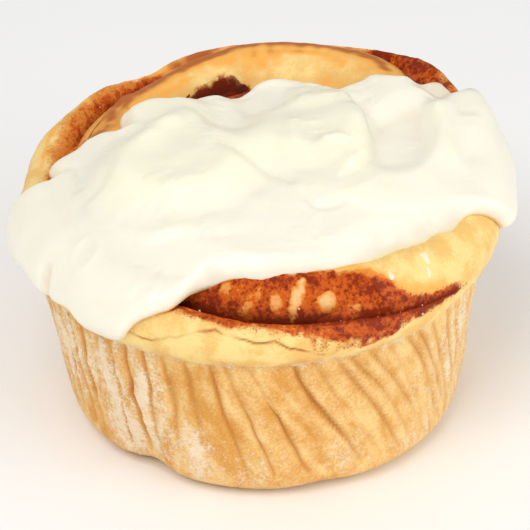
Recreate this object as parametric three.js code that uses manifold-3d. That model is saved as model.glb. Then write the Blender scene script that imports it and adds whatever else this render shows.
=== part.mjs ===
// A cinnamon roll: a strip of dough coiled round a cinnamon filling, baked in a pleated cup, then iced.
// Millimetres, +Z up, origin on the base under the middle of the coil, front towards -Y.
import * as THREE from "three";
import Module from "manifold-3d";

const wasm = await Module();
wasm.setup();

const { degToRad, lerp, smoothstep } = THREE.MathUtils;
const FULL_TURN = 2 * Math.PI;

// Side of the roll, as the pleated cup shaped it
const BASE_RADIUS = 31;
const BASE_CORNER = 6.2;
const BASE_OFFSET = 0.8;
const CUP_RADIUS = 40.9;
const CUP_HEIGHT = 32.3;
const CUP_LEAN = -1.6;
const PLEATS = 68;
const PLEAT_DEPTH = 0.7;
// Lean of the pleats at the base, as [direction, lean] in degrees
const PLEAT_LEAN = [
  [-180, 0], [-118, 0], [-102, 8], [-82, 17], [-62, 20], [-32, 13], [0, 4], [40, 0], [180, 0],
];

// Risen top that swells out over the cup
const RIM_RADIUS = 44.4;
const RIM_SHIFT = new THREE.Vector2(-0.3, 1.5);
const RIM_HEIGHT = 38.8;
const RIM_RISE = new THREE.Vector2(1.0, 2.2);

// Coil: it winds inwards clockwise, seen from above, from the tail of the strip
const TAIL_ANGLE = degToRad(-33);
const COIL_PITCH = 13.2;
const COIL_TAPER = 0.82;
const COIL_START = degToRad(24);
const COIL_END = degToRad(1040);
const COIL_STEP = degToRad(10);
const OUTER_GROOVE_DEPTH = 3.2;
const INNER_GROOVE_DEPTH = 5.5;
const GROOVE_ROUNDING = 3;

// Groove inside the rim over the first turn: turn from the tail in degrees, distance from the rim.
// The outer strip is a crescent on the left and is squeezed thin at the back.
const GROOVE_INSETS = [
  [0, 0], [25, 2], [57, 4], [78, 6.4], [130, 9], [170, 7.5], [200, 4.4], [222, 2.5], [255, 2.3],
  [271, 2.8], [283, 6], [300, 8], [327, 10.5], [360, COIL_PITCH],
];

// Height of the strip's crown along the coil: turn from the tail in degrees, height
const CROWN_HEIGHTS = [
  [0, 38.4], [25, 39.8], [57, 41.3], [100, 42.5], [147, 44], [177, 46.7], [195, 46.6], [208, 46],
  [225, 48.7], [255, 50.1], [270, 51.8], [283, 53.6], [290, 53.7], [312, 50.5], [330, 48], [360, 46.5],
  [417, 47.2], [507, 47.8], [560, 48.8], [580, 50.6], [592, 52.6], [612, 53.4], [635, 53.5], [655, 52.2],
  [690, 49.2], [1080, 48.5],
];

// Cinnamon filling: a sheet between the turns that spreads over the groove where it shows
const SHEET_HALF = 0.5;
const SHEET_FOOT = 0.3;
const SEALED_TAIL = 36.5;
const SEALED_TAIL_END = degToRad(64);
const CHANNEL_TOP = 62;
const CHANNEL_FOOT = 1.3;
const COVERED_FROM = degToRad(203);
const COVERED_TO = degToRad(266);
const COVERED_TOP = 40;
const COVERED_INSET = 5.5;
const SMEAR_THICKNESS = 1.3;
const SMEAR_SINK = 0.3;
const SMEARS = [
  { name: "front", at: 38, span: 45, outward: 2.8, inward: 6 },
  { name: "back left", at: 162, span: 28, outward: 4.2, inward: 1 },
  { name: "back right", at: 292, span: 13, outward: 5.5, inward: 1.6 },
  { name: "hollow behind the icing", at: 585, span: 20, outward: 1.6, inward: 2 },
];

// Icing: reach from the middle, measured along the surface it lies on
const ICING_REACH = 28.5;
const ICING_FRONT_REACH = 6;
const ICING_LOBES = [
  { name: "drip at the front left", at: -122, span: 12.5, reach: 9.8 },
  { name: "left lobe", at: -155.4, span: 34, reach: 18 },
  { name: "front right edge", at: -19.5, span: 34, reach: 7.8 },
  { name: "drip at the right", at: -4.3, span: 12.2, reach: 12.9 },
  { name: "right lobe", at: 17.2, span: 14.3, reach: 16.6 },
  { name: "back right lobe", at: 38.9, span: 18.2, reach: 13.4 },
  { name: "back edge", at: 75.6, span: 23.1, reach: 4.4 },
  { name: "back left edge", at: 142.1, span: 18.7, reach: 4.8 },
];
const ICING_TOP = 3.8;
const ICING_SKIRT = 2.6;
const ICING_EDGE = 3;
const ICING_ROOT = 3.5;
const BED_SINK = 0.5;
const BED_BEND = 6;
const ICING_MOUNDS = [
  { name: "dollop", x: -15, y: -7, across: 17, along: 15, turn: 25, rise: 3.2 },
  { name: "curl", x: 8, y: 4, across: 13, along: 13, turn: 0, rise: 3.2 },
  { name: "upper layer", x: 12, y: -5, across: 25, along: 15, turn: 0, rise: 1.2 },
  { name: "right ridge", x: 35, y: 9, across: 6, along: 16, turn: -18, rise: 1 },
  { name: "left lobes", x: -40, y: -12, across: 10, along: 14, turn: 0, rise: 1.6 },
  { name: "right hollow", x: 26, y: 9, across: 5, along: 10, turn: -20, rise: -1.3 },
];

// Clearance between touching pieces
const GAP = 0.3;

// Colours
const DOUGH_FINISH = { color: 0xe9bc76, roughness: 0.75, metalness: 0 };
const FILLING_FINISH = { color: 0xa4561f, roughness: 0.8, metalness: 0 };
const ICING_FINISH = { color: 0xfbf4df, roughness: 0.4, metalness: 0 };

// Smooth curve through a list of [place, value] knots
function throughKnots(knots, place) {
  const last = knots.length - 1;
  let k = 0;
  while (k < last - 1 && place > knots[k + 1][0]) {
    k += 1;
  }
  const slopeAt = (i) => {
    const before = knots[Math.max(i - 1, 0)];
    const after = knots[Math.min(i + 1, last)];
    return (after[1] - before[1]) / (after[0] - before[0]);
  };
  const width = knots[k + 1][0] - knots[k][0];
  const t = THREE.MathUtils.clamp((place - knots[k][0]) / width, 0, 1);
  const rising = t * t * (3 - 2 * t);
  const leaving = t * (1 - t) * (1 - t) * width * slopeAt(k);
  const arriving = t * t * (t - 1) * width * slopeAt(k + 1);
  return lerp(knots[k][1], knots[k + 1][1], rising) + leaving + arriving;
}

// Repeatable unevenness between -1 and 1
function uneven(seed) {
  const wave = Math.sin(seed * 12.9898) * 43758.5453;
  return 2 * (wave - Math.floor(wave)) - 1;
}

function onCircle(theta, radius, height, offset) {
  return new THREE.Vector3(offset + radius * Math.cos(theta), radius * Math.sin(theta), height);
}

// Sideways offset of the roll's middle, which drifts up to the cup's edge and comes back at the rim
function sideOffset(height) {
  const atCup = BASE_OFFSET + CUP_LEAN;
  if (height < CUP_HEIGHT) {
    return lerp(BASE_OFFSET, atCup, height / CUP_HEIGHT);
  }
  return lerp(atCup, 0, smoothstep(height, CUP_HEIGHT, RIM_HEIGHT));
}

function rimRadius(theta) {
  return RIM_RADIUS + RIM_SHIFT.x * Math.cos(theta) + RIM_SHIFT.y * Math.sin(theta);
}

function rimHeight(theta) {
  return RIM_HEIGHT + RIM_RISE.x * Math.cos(theta) + RIM_RISE.y * Math.sin(theta);
}

// Clockwise turn from the tail to a direction, within the first turn
function turnFromTail(theta) {
  return THREE.MathUtils.euclideanModulo(TAIL_ANGLE - theta, FULL_TURN);
}

// Distance of the groove from the rim, at a turn from the tail
function grooveInset(turn) {
  const turns = Math.floor(turn / FULL_TURN);
  const rest = THREE.MathUtils.radToDeg(turn - turns * FULL_TURN);
  return turns * COIL_PITCH + throughKnots(GROOVE_INSETS, rest);
}

function crownHeight(turn) {
  return throughKnots(CROWN_HEIGHTS, THREE.MathUtils.radToDeg(turn));
}

// Share by which the groove has died out at the inner end of the coil
function coilEnding(turn) {
  return smoothstep(turn, COIL_END - FULL_TURN / 4, COIL_END);
}

function grooveFloor(turn) {
  const inner = smoothstep(turn, 0.85 * FULL_TURN, 1.2 * FULL_TURN);
  const depth = lerp(OUTER_GROOVE_DEPTH, INNER_GROOVE_DEPTH, inner) * (1 - coilEnding(turn));
  return crownHeight(turn) - depth * (1 - Math.exp(-grooveInset(turn) / GROOVE_ROUNDING));
}

// Height of the coiled top: each turn of the strip is an arch between two grooves
function topHeight(radius, theta) {
  const rim = rimRadius(theta);
  let turn = turnFromTail(theta);
  let outer = rim;
  let outerFloor = rimHeight(theta);
  let roundness = 1;
  let inner = rim - grooveInset(turn);
  while (radius < inner && turn + FULL_TURN < COIL_END) {
    outer = inner;
    outerFloor = grooveFloor(turn);
    roundness = Math.exp(-grooveInset(turn) / GROOVE_ROUNDING);
    turn += FULL_TURN;
    inner = rim - grooveInset(turn);
  }
  if (radius < inner) {
    outer = inner;
    outerFloor = grooveFloor(turn);
    inner = -outer;
  }
  const crown = crownHeight(turn);
  const middle = (outer + inner) / 2;
  const half = Math.max((outer - inner) / 2, 0.01);
  const u = Math.min(Math.abs(radius - middle) / half, 1);
  if (radius < middle) {
    return crown - (crown - grooveFloor(turn)) * u * u;
  }
  const fall = lerp(u * u, 1 - Math.sqrt(1 - u * u), roundness);
  return crown - (crown - outerFloor) * fall;
}

// Triangles between two closed loops of points, which may differ in number
function stitch(lower, upper, triangles) {
  let i = 0;
  let j = 0;
  while (i < lower.length || j < upper.length) {
    const next = upper[j % upper.length];
    const here = lower[i % lower.length];
    if (j >= upper.length || (i < lower.length && (i + 1) / lower.length <= (j + 1) / upper.length)) {
      triangles.push(here, lower[(i + 1) % lower.length], next);
      i += 1;
    } else {
      triangles.push(here, upper[(j + 1) % upper.length], next);
      j += 1;
    }
  }
}

// Closed solid through a row of loops; the end loops are filled on their flattened outlines
function loft(loops, flatten) {
  const positions = loops.flat().flatMap((point) => point.toArray());
  const triangles = [];
  let used = 0;
  const rows = loops.map((points) => points.map(() => used++));
  for (let k = 1; k < rows.length; k += 1) {
    stitch(rows[k - 1], rows[k], triangles);
  }
  const faces = (points) => THREE.ShapeUtils.triangulateShape(points.map(flatten), []);
  const last = rows.length - 1;
  faces(loops[0]).forEach(([a, b, c]) => triangles.push(rows[0][c], rows[0][b], rows[0][a]));
  faces(loops[last]).forEach(([a, b, c]) => triangles.push(rows[last][a], rows[last][b], rows[last][c]));
  return new wasm.Manifold(new wasm.Mesh({
    numProp: 3,
    vertProperties: new Float32Array(positions),
    triVerts: new Uint32Array(triangles),
  }));
}

function fromAbove(point) {
  return new THREE.Vector2(point.x, point.y);
}

function alongCoil(point) {
  return new THREE.Vector2(Math.hypot(point.x, point.y), point.z);
}

function loop(count, pointAt) {
  return Array.from({ length: count }, (_, k) => pointAt(FULL_TURN * k / count, k));
}

// Lean of the pleats at a height, which is largest at the base and gone at the cup's edge
function pleatLean(theta, height) {
  return degToRad(throughKnots(PLEAT_LEAN, degreesBetween(theta, 0))) * (1 - height / CUP_HEIGHT);
}

// Point on the pleated side; every second column lies in the valley of a pleat
function pleatedPoint(theta, column, radius, height, depthShare, grow) {
  const valley = column % 2;
  const pleat = Math.floor(column / 2);
  const depth = PLEAT_DEPTH * depthShare * (0.75 + 0.35 * uneven(pleat + 0.3));
  const slip = 0.2 * FULL_TURN / (2 * PLEATS) * uneven(column + 7.1);
  const reach = radius - (valley ? depth : 0) + grow;
  return onCircle(theta + slip + pleatLean(theta, height), reach, height, sideOffset(height));
}

// Whole body of the roll: base, pleated side, swelling rim and coiled top
function rollBody(grow) {
  const side = 2 * PLEATS;
  const loops = [];
  const wallLean = Math.atan2(CUP_RADIUS - BASE_RADIUS - BASE_CORNER, CUP_HEIGHT - BASE_CORNER);
  const cornerEnd = Math.PI / 2 - wallLean;
  const cornerRadius = (angle) => BASE_RADIUS + BASE_CORNER * Math.sin(angle);
  const cornerHeight = (angle) => BASE_CORNER * (1 - Math.cos(angle)) - grow;
  for (const angle of [0, cornerEnd * 0.45]) {
    loops.push(loop(PLEATS, (theta) => onCircle(
      theta + pleatLean(theta, 0),
      cornerRadius(angle) + grow,
      cornerHeight(angle),
      BASE_OFFSET,
    )));
  }
  const wallRows = [
    { rise: 0, depth: 0.5 },
    { rise: 0.33, depth: 0.9 },
    { rise: 0.68, depth: 1 },
    { rise: 0.94, depth: 0.9 },
    { rise: 1, depth: 0.3 },
  ];
  for (const row of wallRows) {
    const radius = lerp(cornerRadius(cornerEnd), CUP_RADIUS, row.rise);
    const height = lerp(cornerHeight(cornerEnd), CUP_HEIGHT, row.rise);
    loops.push(loop(side, (theta, column) => (
      pleatedPoint(theta, column, radius, height, row.depth, grow))));
  }
  const rimColumns = 76;
  for (const swell of [{ out: 0.3, rise: 0.2 }, { out: 0.8, rise: 0.55 }]) {
    loops.push(loop(rimColumns, (theta) => onCircle(
      theta,
      lerp(CUP_RADIUS, rimRadius(theta), swell.out) + grow,
      lerp(CUP_HEIGHT, rimHeight(theta), swell.rise),
      sideOffset(lerp(CUP_HEIGHT, RIM_HEIGHT, swell.rise)),
    )));
  }
  const topRings = [1, 0.992, 0.97, 0.94, 0.905, 0.87, 0.83, 0.79, 0.74, 0.68, 0.61];
  const coreRings = [0.53, 0.43, 0.32, 0.18];
  const topLoop = (count, share) => loop(count, (theta) => {
    const radius = rimRadius(theta) * share;
    const spread = share === 1 ? grow : 0;
    return onCircle(theta, radius + spread, topHeight(radius, theta) + (share === 1 ? 0 : grow), 0);
  });
  topRings.forEach((share) => loops.push(topLoop(rimColumns, share)));
  coreRings.forEach((share) => loops.push(topLoop(rimColumns / 2, share)));
  return loft(loops, fromAbove);
}

// How far the cinnamon spreads to one side of the groove, at a turn from the tail
function smearWidth(turn, side) {
  const degrees = THREE.MathUtils.radToDeg(turn);
  const started = smoothstep(turn, COIL_START, COIL_START + COIL_STEP);
  const spread = SMEARS.reduce((sum, smear) => (
    sum + started * smear[side] * Math.exp(-(((degrees - smear.at) / smear.span) ** 4))), 0.8);
  const room = side === "outward" ? grooveInset(turn) - 1.5 : COIL_PITCH;
  return SHEET_HALF + Math.max(Math.min(spread, room), 0.8);
}

// Filling between the turns: an upright sheet with a smear over the groove.
// The channel it lies in is a little wider, and open at the top and the base.
function coilSheet(asChannel) {
  const grow = asChannel ? GAP : 0;
  const section = (turn) => {
    const theta = TAIL_ANGLE - turn;
    const covered = turn > COVERED_FROM && turn < COVERED_TO;
    const inset = covered ? COVERED_INSET : grooveInset(turn);
    const groove = rimRadius(theta) - inset;
    const open = smoothstep(turn, COIL_START, SEALED_TAIL_END);
    const foot = lerp(SEALED_TAIL, SHEET_FOOT, open) - (asChannel ? CHANNEL_FOOT : 0);
    const footInset = lerp(inset, Math.max(inset, COVERED_INSET), open);
    const footRadius = (rimRadius(theta) - footInset) * lerp(COIL_TAPER, 1, foot / RIM_HEIGHT);
    const half = SHEET_HALF;
    const outward = smearWidth(turn, "outward");
    const inward = smearWidth(turn, "inward");
    const outwardMiddle = lerp(half, outward, 0.5);
    const inwardMiddle = lerp(half, inward, 0.5);
    const widen = (shift) => shift + Math.sign(shift) * grow;
    const surface = (shift) => (covered ? COVERED_TOP : topHeight(groove + shift, theta));
    const openTop = asChannel && !covered;
    const sink = SMEAR_SINK * (1 + coilEnding(turn));
    const upper = (shift) => (openTop ? CHANNEL_TOP : surface(shift) - sink + 2 * grow);
    const under = (shift, share) => surface(shift) - SMEAR_THICKNESS * share - 2 * grow;
    const profile = [
      [widen(half), under(half, 1)],
      [outwardMiddle, under(outwardMiddle, 1)],
      [widen(outward), under(outward, 0.5)],
      [widen(outward), upper(outward)],
      [outwardMiddle, upper(outwardMiddle)],
      [0, upper(0)],
      [-inwardMiddle, upper(-inwardMiddle)],
      [widen(-inward), upper(-inward)],
      [widen(-inward), under(-inward, 0.5)],
      [-inwardMiddle, under(-inwardMiddle, 1)],
      [widen(-half), under(-half, 1)],
    ];
    return [
      onCircle(theta, footRadius + widen(-half), foot, sideOffset(foot)),
      onCircle(theta, footRadius + widen(half), foot, sideOffset(foot)),
      ...profile.map(([shift, height]) => onCircle(theta, groove + shift, height, 0)),
    ];
  };
  const stretch = grow / RIM_RADIUS;
  const steps = Math.round((COIL_END - COIL_START) / COIL_STEP);
  const stride = (COIL_END - COIL_START) / steps;
  const loops = [];
  for (let k = 0; k <= steps; k += 1) {
    const overrun = k === 0 ? -stretch : 0;
    const reserve = k === steps ? 5 * stretch : 0;
    loops.push(section(COIL_START + k * stride + overrun + reserve));
  }
  return loft(loops, alongCoil);
}

// Signed angle from one direction to another, in degrees
function degreesBetween(theta, degrees) {
  return THREE.MathUtils.euclideanModulo(THREE.MathUtils.radToDeg(theta) - degrees + 180, 360) - 180;
}

function icingReach(theta) {
  const plain = ICING_REACH - ICING_FRONT_REACH * Math.sin(theta);
  return ICING_LOBES.reduce((sum, lobe) => (
    sum + lobe.reach * Math.exp(-(Math.abs(degreesBetween(theta, lobe.at) / lobe.span) ** 3))), plain);
}

// Surface the icing lies on: it runs from crown to crown over the grooves
function bedHeight(radius, theta) {
  const turn = turnFromTail(theta);
  const strips = Math.max((rimRadius(theta) - grooveInset(turn) - radius) / COIL_PITCH + 0.5, 0);
  const whole = Math.floor(strips);
  const outer = crownHeight(turn + whole * FULL_TURN);
  const inner = crownHeight(turn + (whole + 1) * FULL_TURN);
  return lerp(outer, inner, strips - whole) - BED_SINK;
}

// Point at a distance from the middle along the icing's bed, lifted square to the bed
function icingPoint(theta, distance, lift) {
  const shoulder = rimRadius(theta) - BED_BEND;
  if (distance <= shoulder) {
    return onCircle(theta, distance, bedHeight(distance, theta) + lift, 0);
  }
  const bend = Math.min((distance - shoulder) / BED_BEND, Math.PI / 2);
  const drop = Math.max(distance - shoulder - BED_BEND * Math.PI / 2, 0);
  const radius = shoulder + (BED_BEND + lift) * Math.sin(bend);
  const height = bedHeight(shoulder, theta) - BED_BEND + (BED_BEND + lift) * Math.cos(bend) - drop;
  return onCircle(theta, radius, height, 0);
}

function icingThickness(theta, distance) {
  const x = distance * Math.cos(theta);
  const y = distance * Math.sin(theta);
  let thickness = lerp(ICING_TOP, ICING_SKIRT, smoothstep(distance, 20, 42));
  for (const mound of ICING_MOUNDS) {
    const turn = degToRad(mound.turn);
    const dx = x - mound.x;
    const dy = y - mound.y;
    const across = (dx * Math.cos(turn) + dy * Math.sin(turn)) / mound.across;
    const along = (dy * Math.cos(turn) - dx * Math.sin(turn)) / mound.along;
    thickness += mound.rise * (1 - smoothstep(Math.hypot(across, along), 0.55, 1.1));
  }
  const edge = Math.min((icingReach(theta) - distance) / ICING_EDGE, 1);
  return thickness * Math.sqrt(Math.max(1 - (1 - edge) ** 2, 0));
}

// Blanket of icing that sinks a little into the roll, before the roll is cut from it
function icingBlanket() {
  const columns = 76;
  const underRings = [0.3, 0.65, 0.92];
  const overRings = [1, 0.985, 0.95, 0.91, 0.84, 0.76, 0.67, 0.57, 0.47, 0.37];
  const innerRings = [0.26, 0.13];
  const under = (share) => loop(columns / 2, (theta) => (
    icingPoint(theta, icingReach(theta) * share, -ICING_ROOT)));
  const over = (count, share) => loop(count, (theta) => {
    const distance = icingReach(theta) * share;
    return icingPoint(theta, distance, icingThickness(theta, distance));
  });
  const loops = [
    ...underRings.map(under),
    ...overRings.map((share) => over(columns, share)),
    ...innerRings.map((share) => over(columns / 2, share)),
  ];
  return loft(loops, fromAbove);
}

// Largest body of a cut, without the loose scraps
function mainBody(solid) {
  return solid.decompose().reduce((a, b) => (a.volume() >= b.volume() ? a : b));
}

function namedMesh(name, solid, finish) {
  const mesh = solid.getMesh();
  const geometry = new THREE.BufferGeometry();
  geometry.setAttribute("position", new THREE.BufferAttribute(new Float32Array(mesh.vertProperties), 3));
  geometry.setIndex(new THREE.BufferAttribute(new Uint32Array(mesh.triVerts), 1));
  geometry.computeVertexNormals();
  const node = new THREE.Mesh(geometry, new THREE.MeshStandardMaterial(finish));
  node.name = name;
  return node;
}

const dough = mainBody(rollBody(0).subtract(coilSheet(true)));
const filling = coilSheet(false);
const icing = mainBody(icingBlanket().subtract(rollBody(GAP)));

const roll = new THREE.Group();
roll.name = "cinnamon_roll";
roll.add(namedMesh("dough", dough, DOUGH_FINISH));
roll.add(namedMesh("filling", filling, FILLING_FINISH));
roll.add(namedMesh("icing", icing, ICING_FINISH));

export default roll;
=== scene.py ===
"""Looks of an iced cinnamon roll: coiled dough, cinnamon filling and soft icing on a pale floor.

Shapes are worked out in millimetres in the part's own frame and turned into metres when a mesh is made.
"""

import itertools
import logging
import math
from dataclasses import dataclass, field
from enum import Enum

import bmesh
import bpy
import numpy as np
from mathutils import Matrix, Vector

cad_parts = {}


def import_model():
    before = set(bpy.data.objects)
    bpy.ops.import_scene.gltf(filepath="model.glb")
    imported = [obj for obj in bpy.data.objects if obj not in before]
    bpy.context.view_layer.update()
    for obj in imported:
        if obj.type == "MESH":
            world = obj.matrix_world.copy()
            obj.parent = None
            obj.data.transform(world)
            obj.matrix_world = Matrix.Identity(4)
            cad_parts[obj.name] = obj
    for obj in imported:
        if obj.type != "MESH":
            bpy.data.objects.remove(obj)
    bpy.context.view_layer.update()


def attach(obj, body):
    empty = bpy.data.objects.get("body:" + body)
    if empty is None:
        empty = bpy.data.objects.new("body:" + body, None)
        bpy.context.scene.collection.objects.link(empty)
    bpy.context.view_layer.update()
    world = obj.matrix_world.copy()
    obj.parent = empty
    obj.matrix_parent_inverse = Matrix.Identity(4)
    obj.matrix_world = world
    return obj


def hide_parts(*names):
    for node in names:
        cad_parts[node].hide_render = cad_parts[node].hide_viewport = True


LOG = logging.getLogger("cinnamon_roll")
METRES = 0.001
FULL_TURN = 2.0 * math.pi
TINY = 1e-9
LEAST_LENGTH = 0.01
UNEVEN_PACE = 12.9898
UNEVEN_SPREAD = 43758.5453
LATTICE_PRIMES = (73856093, 19349663, 83492791)
LATTICE_SEED = 1013
LATTICE_MIX = 1274126177
LATTICE_WORD = 0xFFFFFFFF
LATTICE_STEPS = 0xFFFF

Numbers = np.ndarray
Colour = tuple[float, float, float, float]
Knots = tuple[tuple[float, float], ...]
Span = tuple[float, float]
Triple = tuple[float, float, float]
Measure = np.ndarray | float
Masks = dict[str, Numbers]
Piece = bpy.types.Object
Node = bpy.types.Node
Tree = bpy.types.NodeTree
Socket = bpy.types.NodeSocket
Feed = Socket | float | Colour


def srgb(red: int, green: int, blue: int) -> Colour:
    """Colour in linear light, with full alpha, of a display colour given from 0 to 255."""
    shares = [value / 255.0 for value in (red, green, blue)]
    linear = [s / 12.92 if s <= 0.04045 else ((s + 0.055) / 1.055) ** 2.4 for s in shares]
    return (linear[0], linear[1], linear[2], 1.0)


def blend(start: Measure, end: Measure, share: Measure) -> Numbers:
    """Straight blend from start to end."""
    return start + (end - start) * share


def smoothstep(value: Measure, low: Measure, high: float) -> Numbers:
    """Smooth rise from 0 at low to 1 at high."""
    share = np.clip((value - low) / (high - low), 0.0, 1.0)
    return share * share * (3.0 - 2.0 * share)


def fading(value: Measure, low: Measure, high: float) -> Numbers:
    """Smooth fall from 1 at low to 0 at high."""
    return 1.0 - smoothstep(value, low, high)


def bell(value: Numbers, half: Measure, power: int = 2) -> Numbers:
    """Bump of height 1 that dies out past its half width, with a flatter top for a higher power."""
    return np.exp(-(np.abs(value / half) ** power))


def through_knots(knots: Knots, place: Numbers) -> Numbers:
    """Smooth curve through a few knots.

    Args:
        knots: Pairs of place and value, in rising order of place.
        place: Where the curve is read.

    Returns:
        The curve's value at each place.
    """
    places = np.array([knot[0] for knot in knots])
    values = np.array([knot[1] for knot in knots])
    last = len(knots) - 1
    after = np.minimum(np.arange(last + 1) + 1, last)
    before = np.maximum(np.arange(last + 1) - 1, 0)
    slopes = (values[after] - values[before]) / (places[after] - places[before])
    k = np.clip(np.searchsorted(places, place, side="left") - 1, 0, last - 1)
    width = places[k + 1] - places[k]
    t = np.clip((place - places[k]) / width, 0.0, 1.0)
    rising = t * t * (3.0 - 2.0 * t)
    leaving = t * (1.0 - t) ** 2 * width * slopes[k]
    arriving = t * t * (t - 1.0) * width * slopes[k + 1]
    return blend(values[k], values[k + 1], rising) + leaving + arriving


def uneven(seed: Numbers) -> Numbers:
    """Repeatable unevenness between -1 and 1."""
    wave = np.sin(seed * UNEVEN_PACE) * UNEVEN_SPREAD
    return 2.0 * (wave - np.floor(wave)) - 1.0


def smooth_noise(points: Numbers, size: float, seed: int) -> Numbers:
    """Smooth repeatable noise.

    Args:
        points: Places in millimetres, with x, y, z on the last axis.
        size: Distance between independent values, in millimetres.
        seed: Number that picks the pattern.

    Returns:
        One value between -1 and 1 for each place.
    """
    scaled = points / size
    cell = np.floor(scaled).astype(np.int64)
    part = scaled - cell
    part = part * part * (3.0 - 2.0 * part)
    total = np.zeros(points.shape[:-1])
    for corner in itertools.product((0, 1), repeat=3):
        lattice = cell + np.array(corner)
        mixed = np.full(total.shape, seed * LATTICE_SEED, dtype=np.int64)
        for axis, prime in enumerate(LATTICE_PRIMES):
            mixed ^= lattice[..., axis] * prime
        mixed = ((mixed ^ (mixed >> 13)) * LATTICE_MIX) & LATTICE_WORD
        value = ((mixed >> 8) & LATTICE_STEPS) / (0.5 * LATTICE_STEPS) - 1.0
        weight = np.prod(np.where(np.array(corner) == 1, part, 1.0 - part), axis=-1)
        total += value * weight
    return total


@dataclass(frozen=True)
class Ripple:
    """One layer of noise: its height, the distance between independent values and its pattern's seed."""

    height: float
    size: float
    seed: int


Ripples = tuple[Ripple, ...]


def rippled(points: Numbers, ripples: Ripples) -> Numbers:
    """Sum of layers of noise at each point."""
    return sum(ripple.height * smooth_noise(points, ripple.size, ripple.seed) for ripple in ripples)


def polar(points: Numbers) -> tuple[Numbers, Numbers]:
    """Distance from the upright middle line and direction in radians of each point."""
    return np.hypot(points[..., 0], points[..., 1]), np.arctan2(points[..., 1], points[..., 0])


def degrees_aside(bearing: Numbers, direction: float) -> Numbers:
    """Turn from a direction to each bearing, between -180 and 180 degrees."""
    return np.mod(bearing - direction + 180.0, 360.0) - 180.0


def plan(theta: Numbers, radius: Numbers, height: Numbers, offset: Measure = 0.0) -> Numbers:
    """Points at a direction, radius and height, stacked as x, y, z on the last axis."""
    x = offset + radius * np.cos(theta)
    y = radius * np.sin(theta)
    return np.stack(np.broadcast_arrays(x, y, height), axis=-1)


def grid_normals(rings: Numbers) -> Numbers:
    """Unit normals of a grid of rings that close on themselves.

    Args:
        rings: Points as ring, column and x, y, z.

    Returns:
        Outward normals in the same layout.
    """
    around = np.roll(rings, -1, axis=1) - np.roll(rings, 1, axis=1)
    along = np.gradient(rings, axis=0)
    normals = np.cross(around, along)
    return normals / np.maximum(np.linalg.norm(normals, axis=-1, keepdims=True), TINY)


def ring_object(name: str, stacks: list[Numbers], masks: Masks) -> Piece:
    """Closed mesh object through stacks of rings, each capped at both ends.

    Args:
        name: Name of the piece.
        stacks: Points in millimetres, each stack as ring, column and x, y, z.
        masks: Values for each point, by attribute name.

    Returns:
        The new object, smooth shaded and linked to the scene.
    """
    faces: list[list[int]] = []
    first = 0
    for rings in stacks:
        count, columns = rings.shape[:2]
        index = first + np.arange(count * columns).reshape(count, columns)
        here, above = index[:-1], index[1:]
        quads = np.stack([here, np.roll(here, -1, 1), np.roll(above, -1, 1), above], axis=-1)
        faces.extend(quads.reshape(-1, 4).tolist())
        faces.append(index[0][::-1].tolist())
        faces.append(index[-1].tolist())
        first += count * columns
    points = np.concatenate([rings.reshape(-1, 3) for rings in stacks])
    mesh = bpy.data.meshes.new(name)
    mesh.from_pydata((points * METRES).tolist(), [], faces)
    for mask, values in masks.items():
        attribute = mesh.attributes.new(mask, "FLOAT", "POINT")
        attribute.data.foreach_set("value", np.ascontiguousarray(values, dtype=np.float32).ravel())
    return finished_object(name, mesh, smooth=True)


def finished_object(name: str, mesh: bpy.types.Mesh, smooth: bool) -> Piece:
    """Object of a mesh with outward normals, linked to the scene.

    Args:
        name: Name of the piece.
        mesh: Its mesh.
        smooth: Whether its faces are shaded smooth.

    Returns:
        The new object.
    """
    work = bmesh.new()
    work.from_mesh(mesh)
    bmesh.ops.recalc_face_normals(work, faces=work.faces)
    work.to_mesh(mesh)
    work.free()
    if smooth:
        mesh.shade_smooth()
    piece = bpy.data.objects.new(name, mesh)
    bpy.context.scene.collection.objects.link(piece)
    return piece


class GrooveSide(Enum):
    """The two sides of the coil's groove."""

    OUTWARD = 1
    INWARD = -1


@dataclass(frozen=True)
class Smear:
    """Place where the cinnamon spreads out of the groove, along the coil in degrees from its tail."""

    at: float
    span: float
    outward: float
    inward: float


@dataclass(frozen=True)
class StainBorder:
    """How the cinnamon ends on the dough, in millimetres and in degrees along the coil.

    A pull says how fast it thins with height: below the groove, from the crown down, or up the steep tail.
    """

    lip_gap: float = 0.6
    lip_pull: float = 4.0
    lip_fade: Span = (0.5, 2.0)
    crown_pull: float = 0.8
    crown_shares: Span = (0.7, 1.2)
    climb_pull: float = 0.7
    climb_end: Span = (10.0, 30.0)
    ragged: Ripples = (Ripple(0.22, 2.6, 11), Ripple(0.16, 1.1, 12))
    least_inset: float = 0.1
    least_reach: float = 0.05
    least_face: float = 0.1
    heart_from: float = 540.0
    soft_fade: Span = (0.1, 1.2)
    soft_most: float = 0.95
    firm_from: Span = (0.45, 0.72)
    firm_to: float = 1.2
    tail_start: Span = (0.5, 5.0)
    reach_start: Span = (0.15, 0.9)


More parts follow.
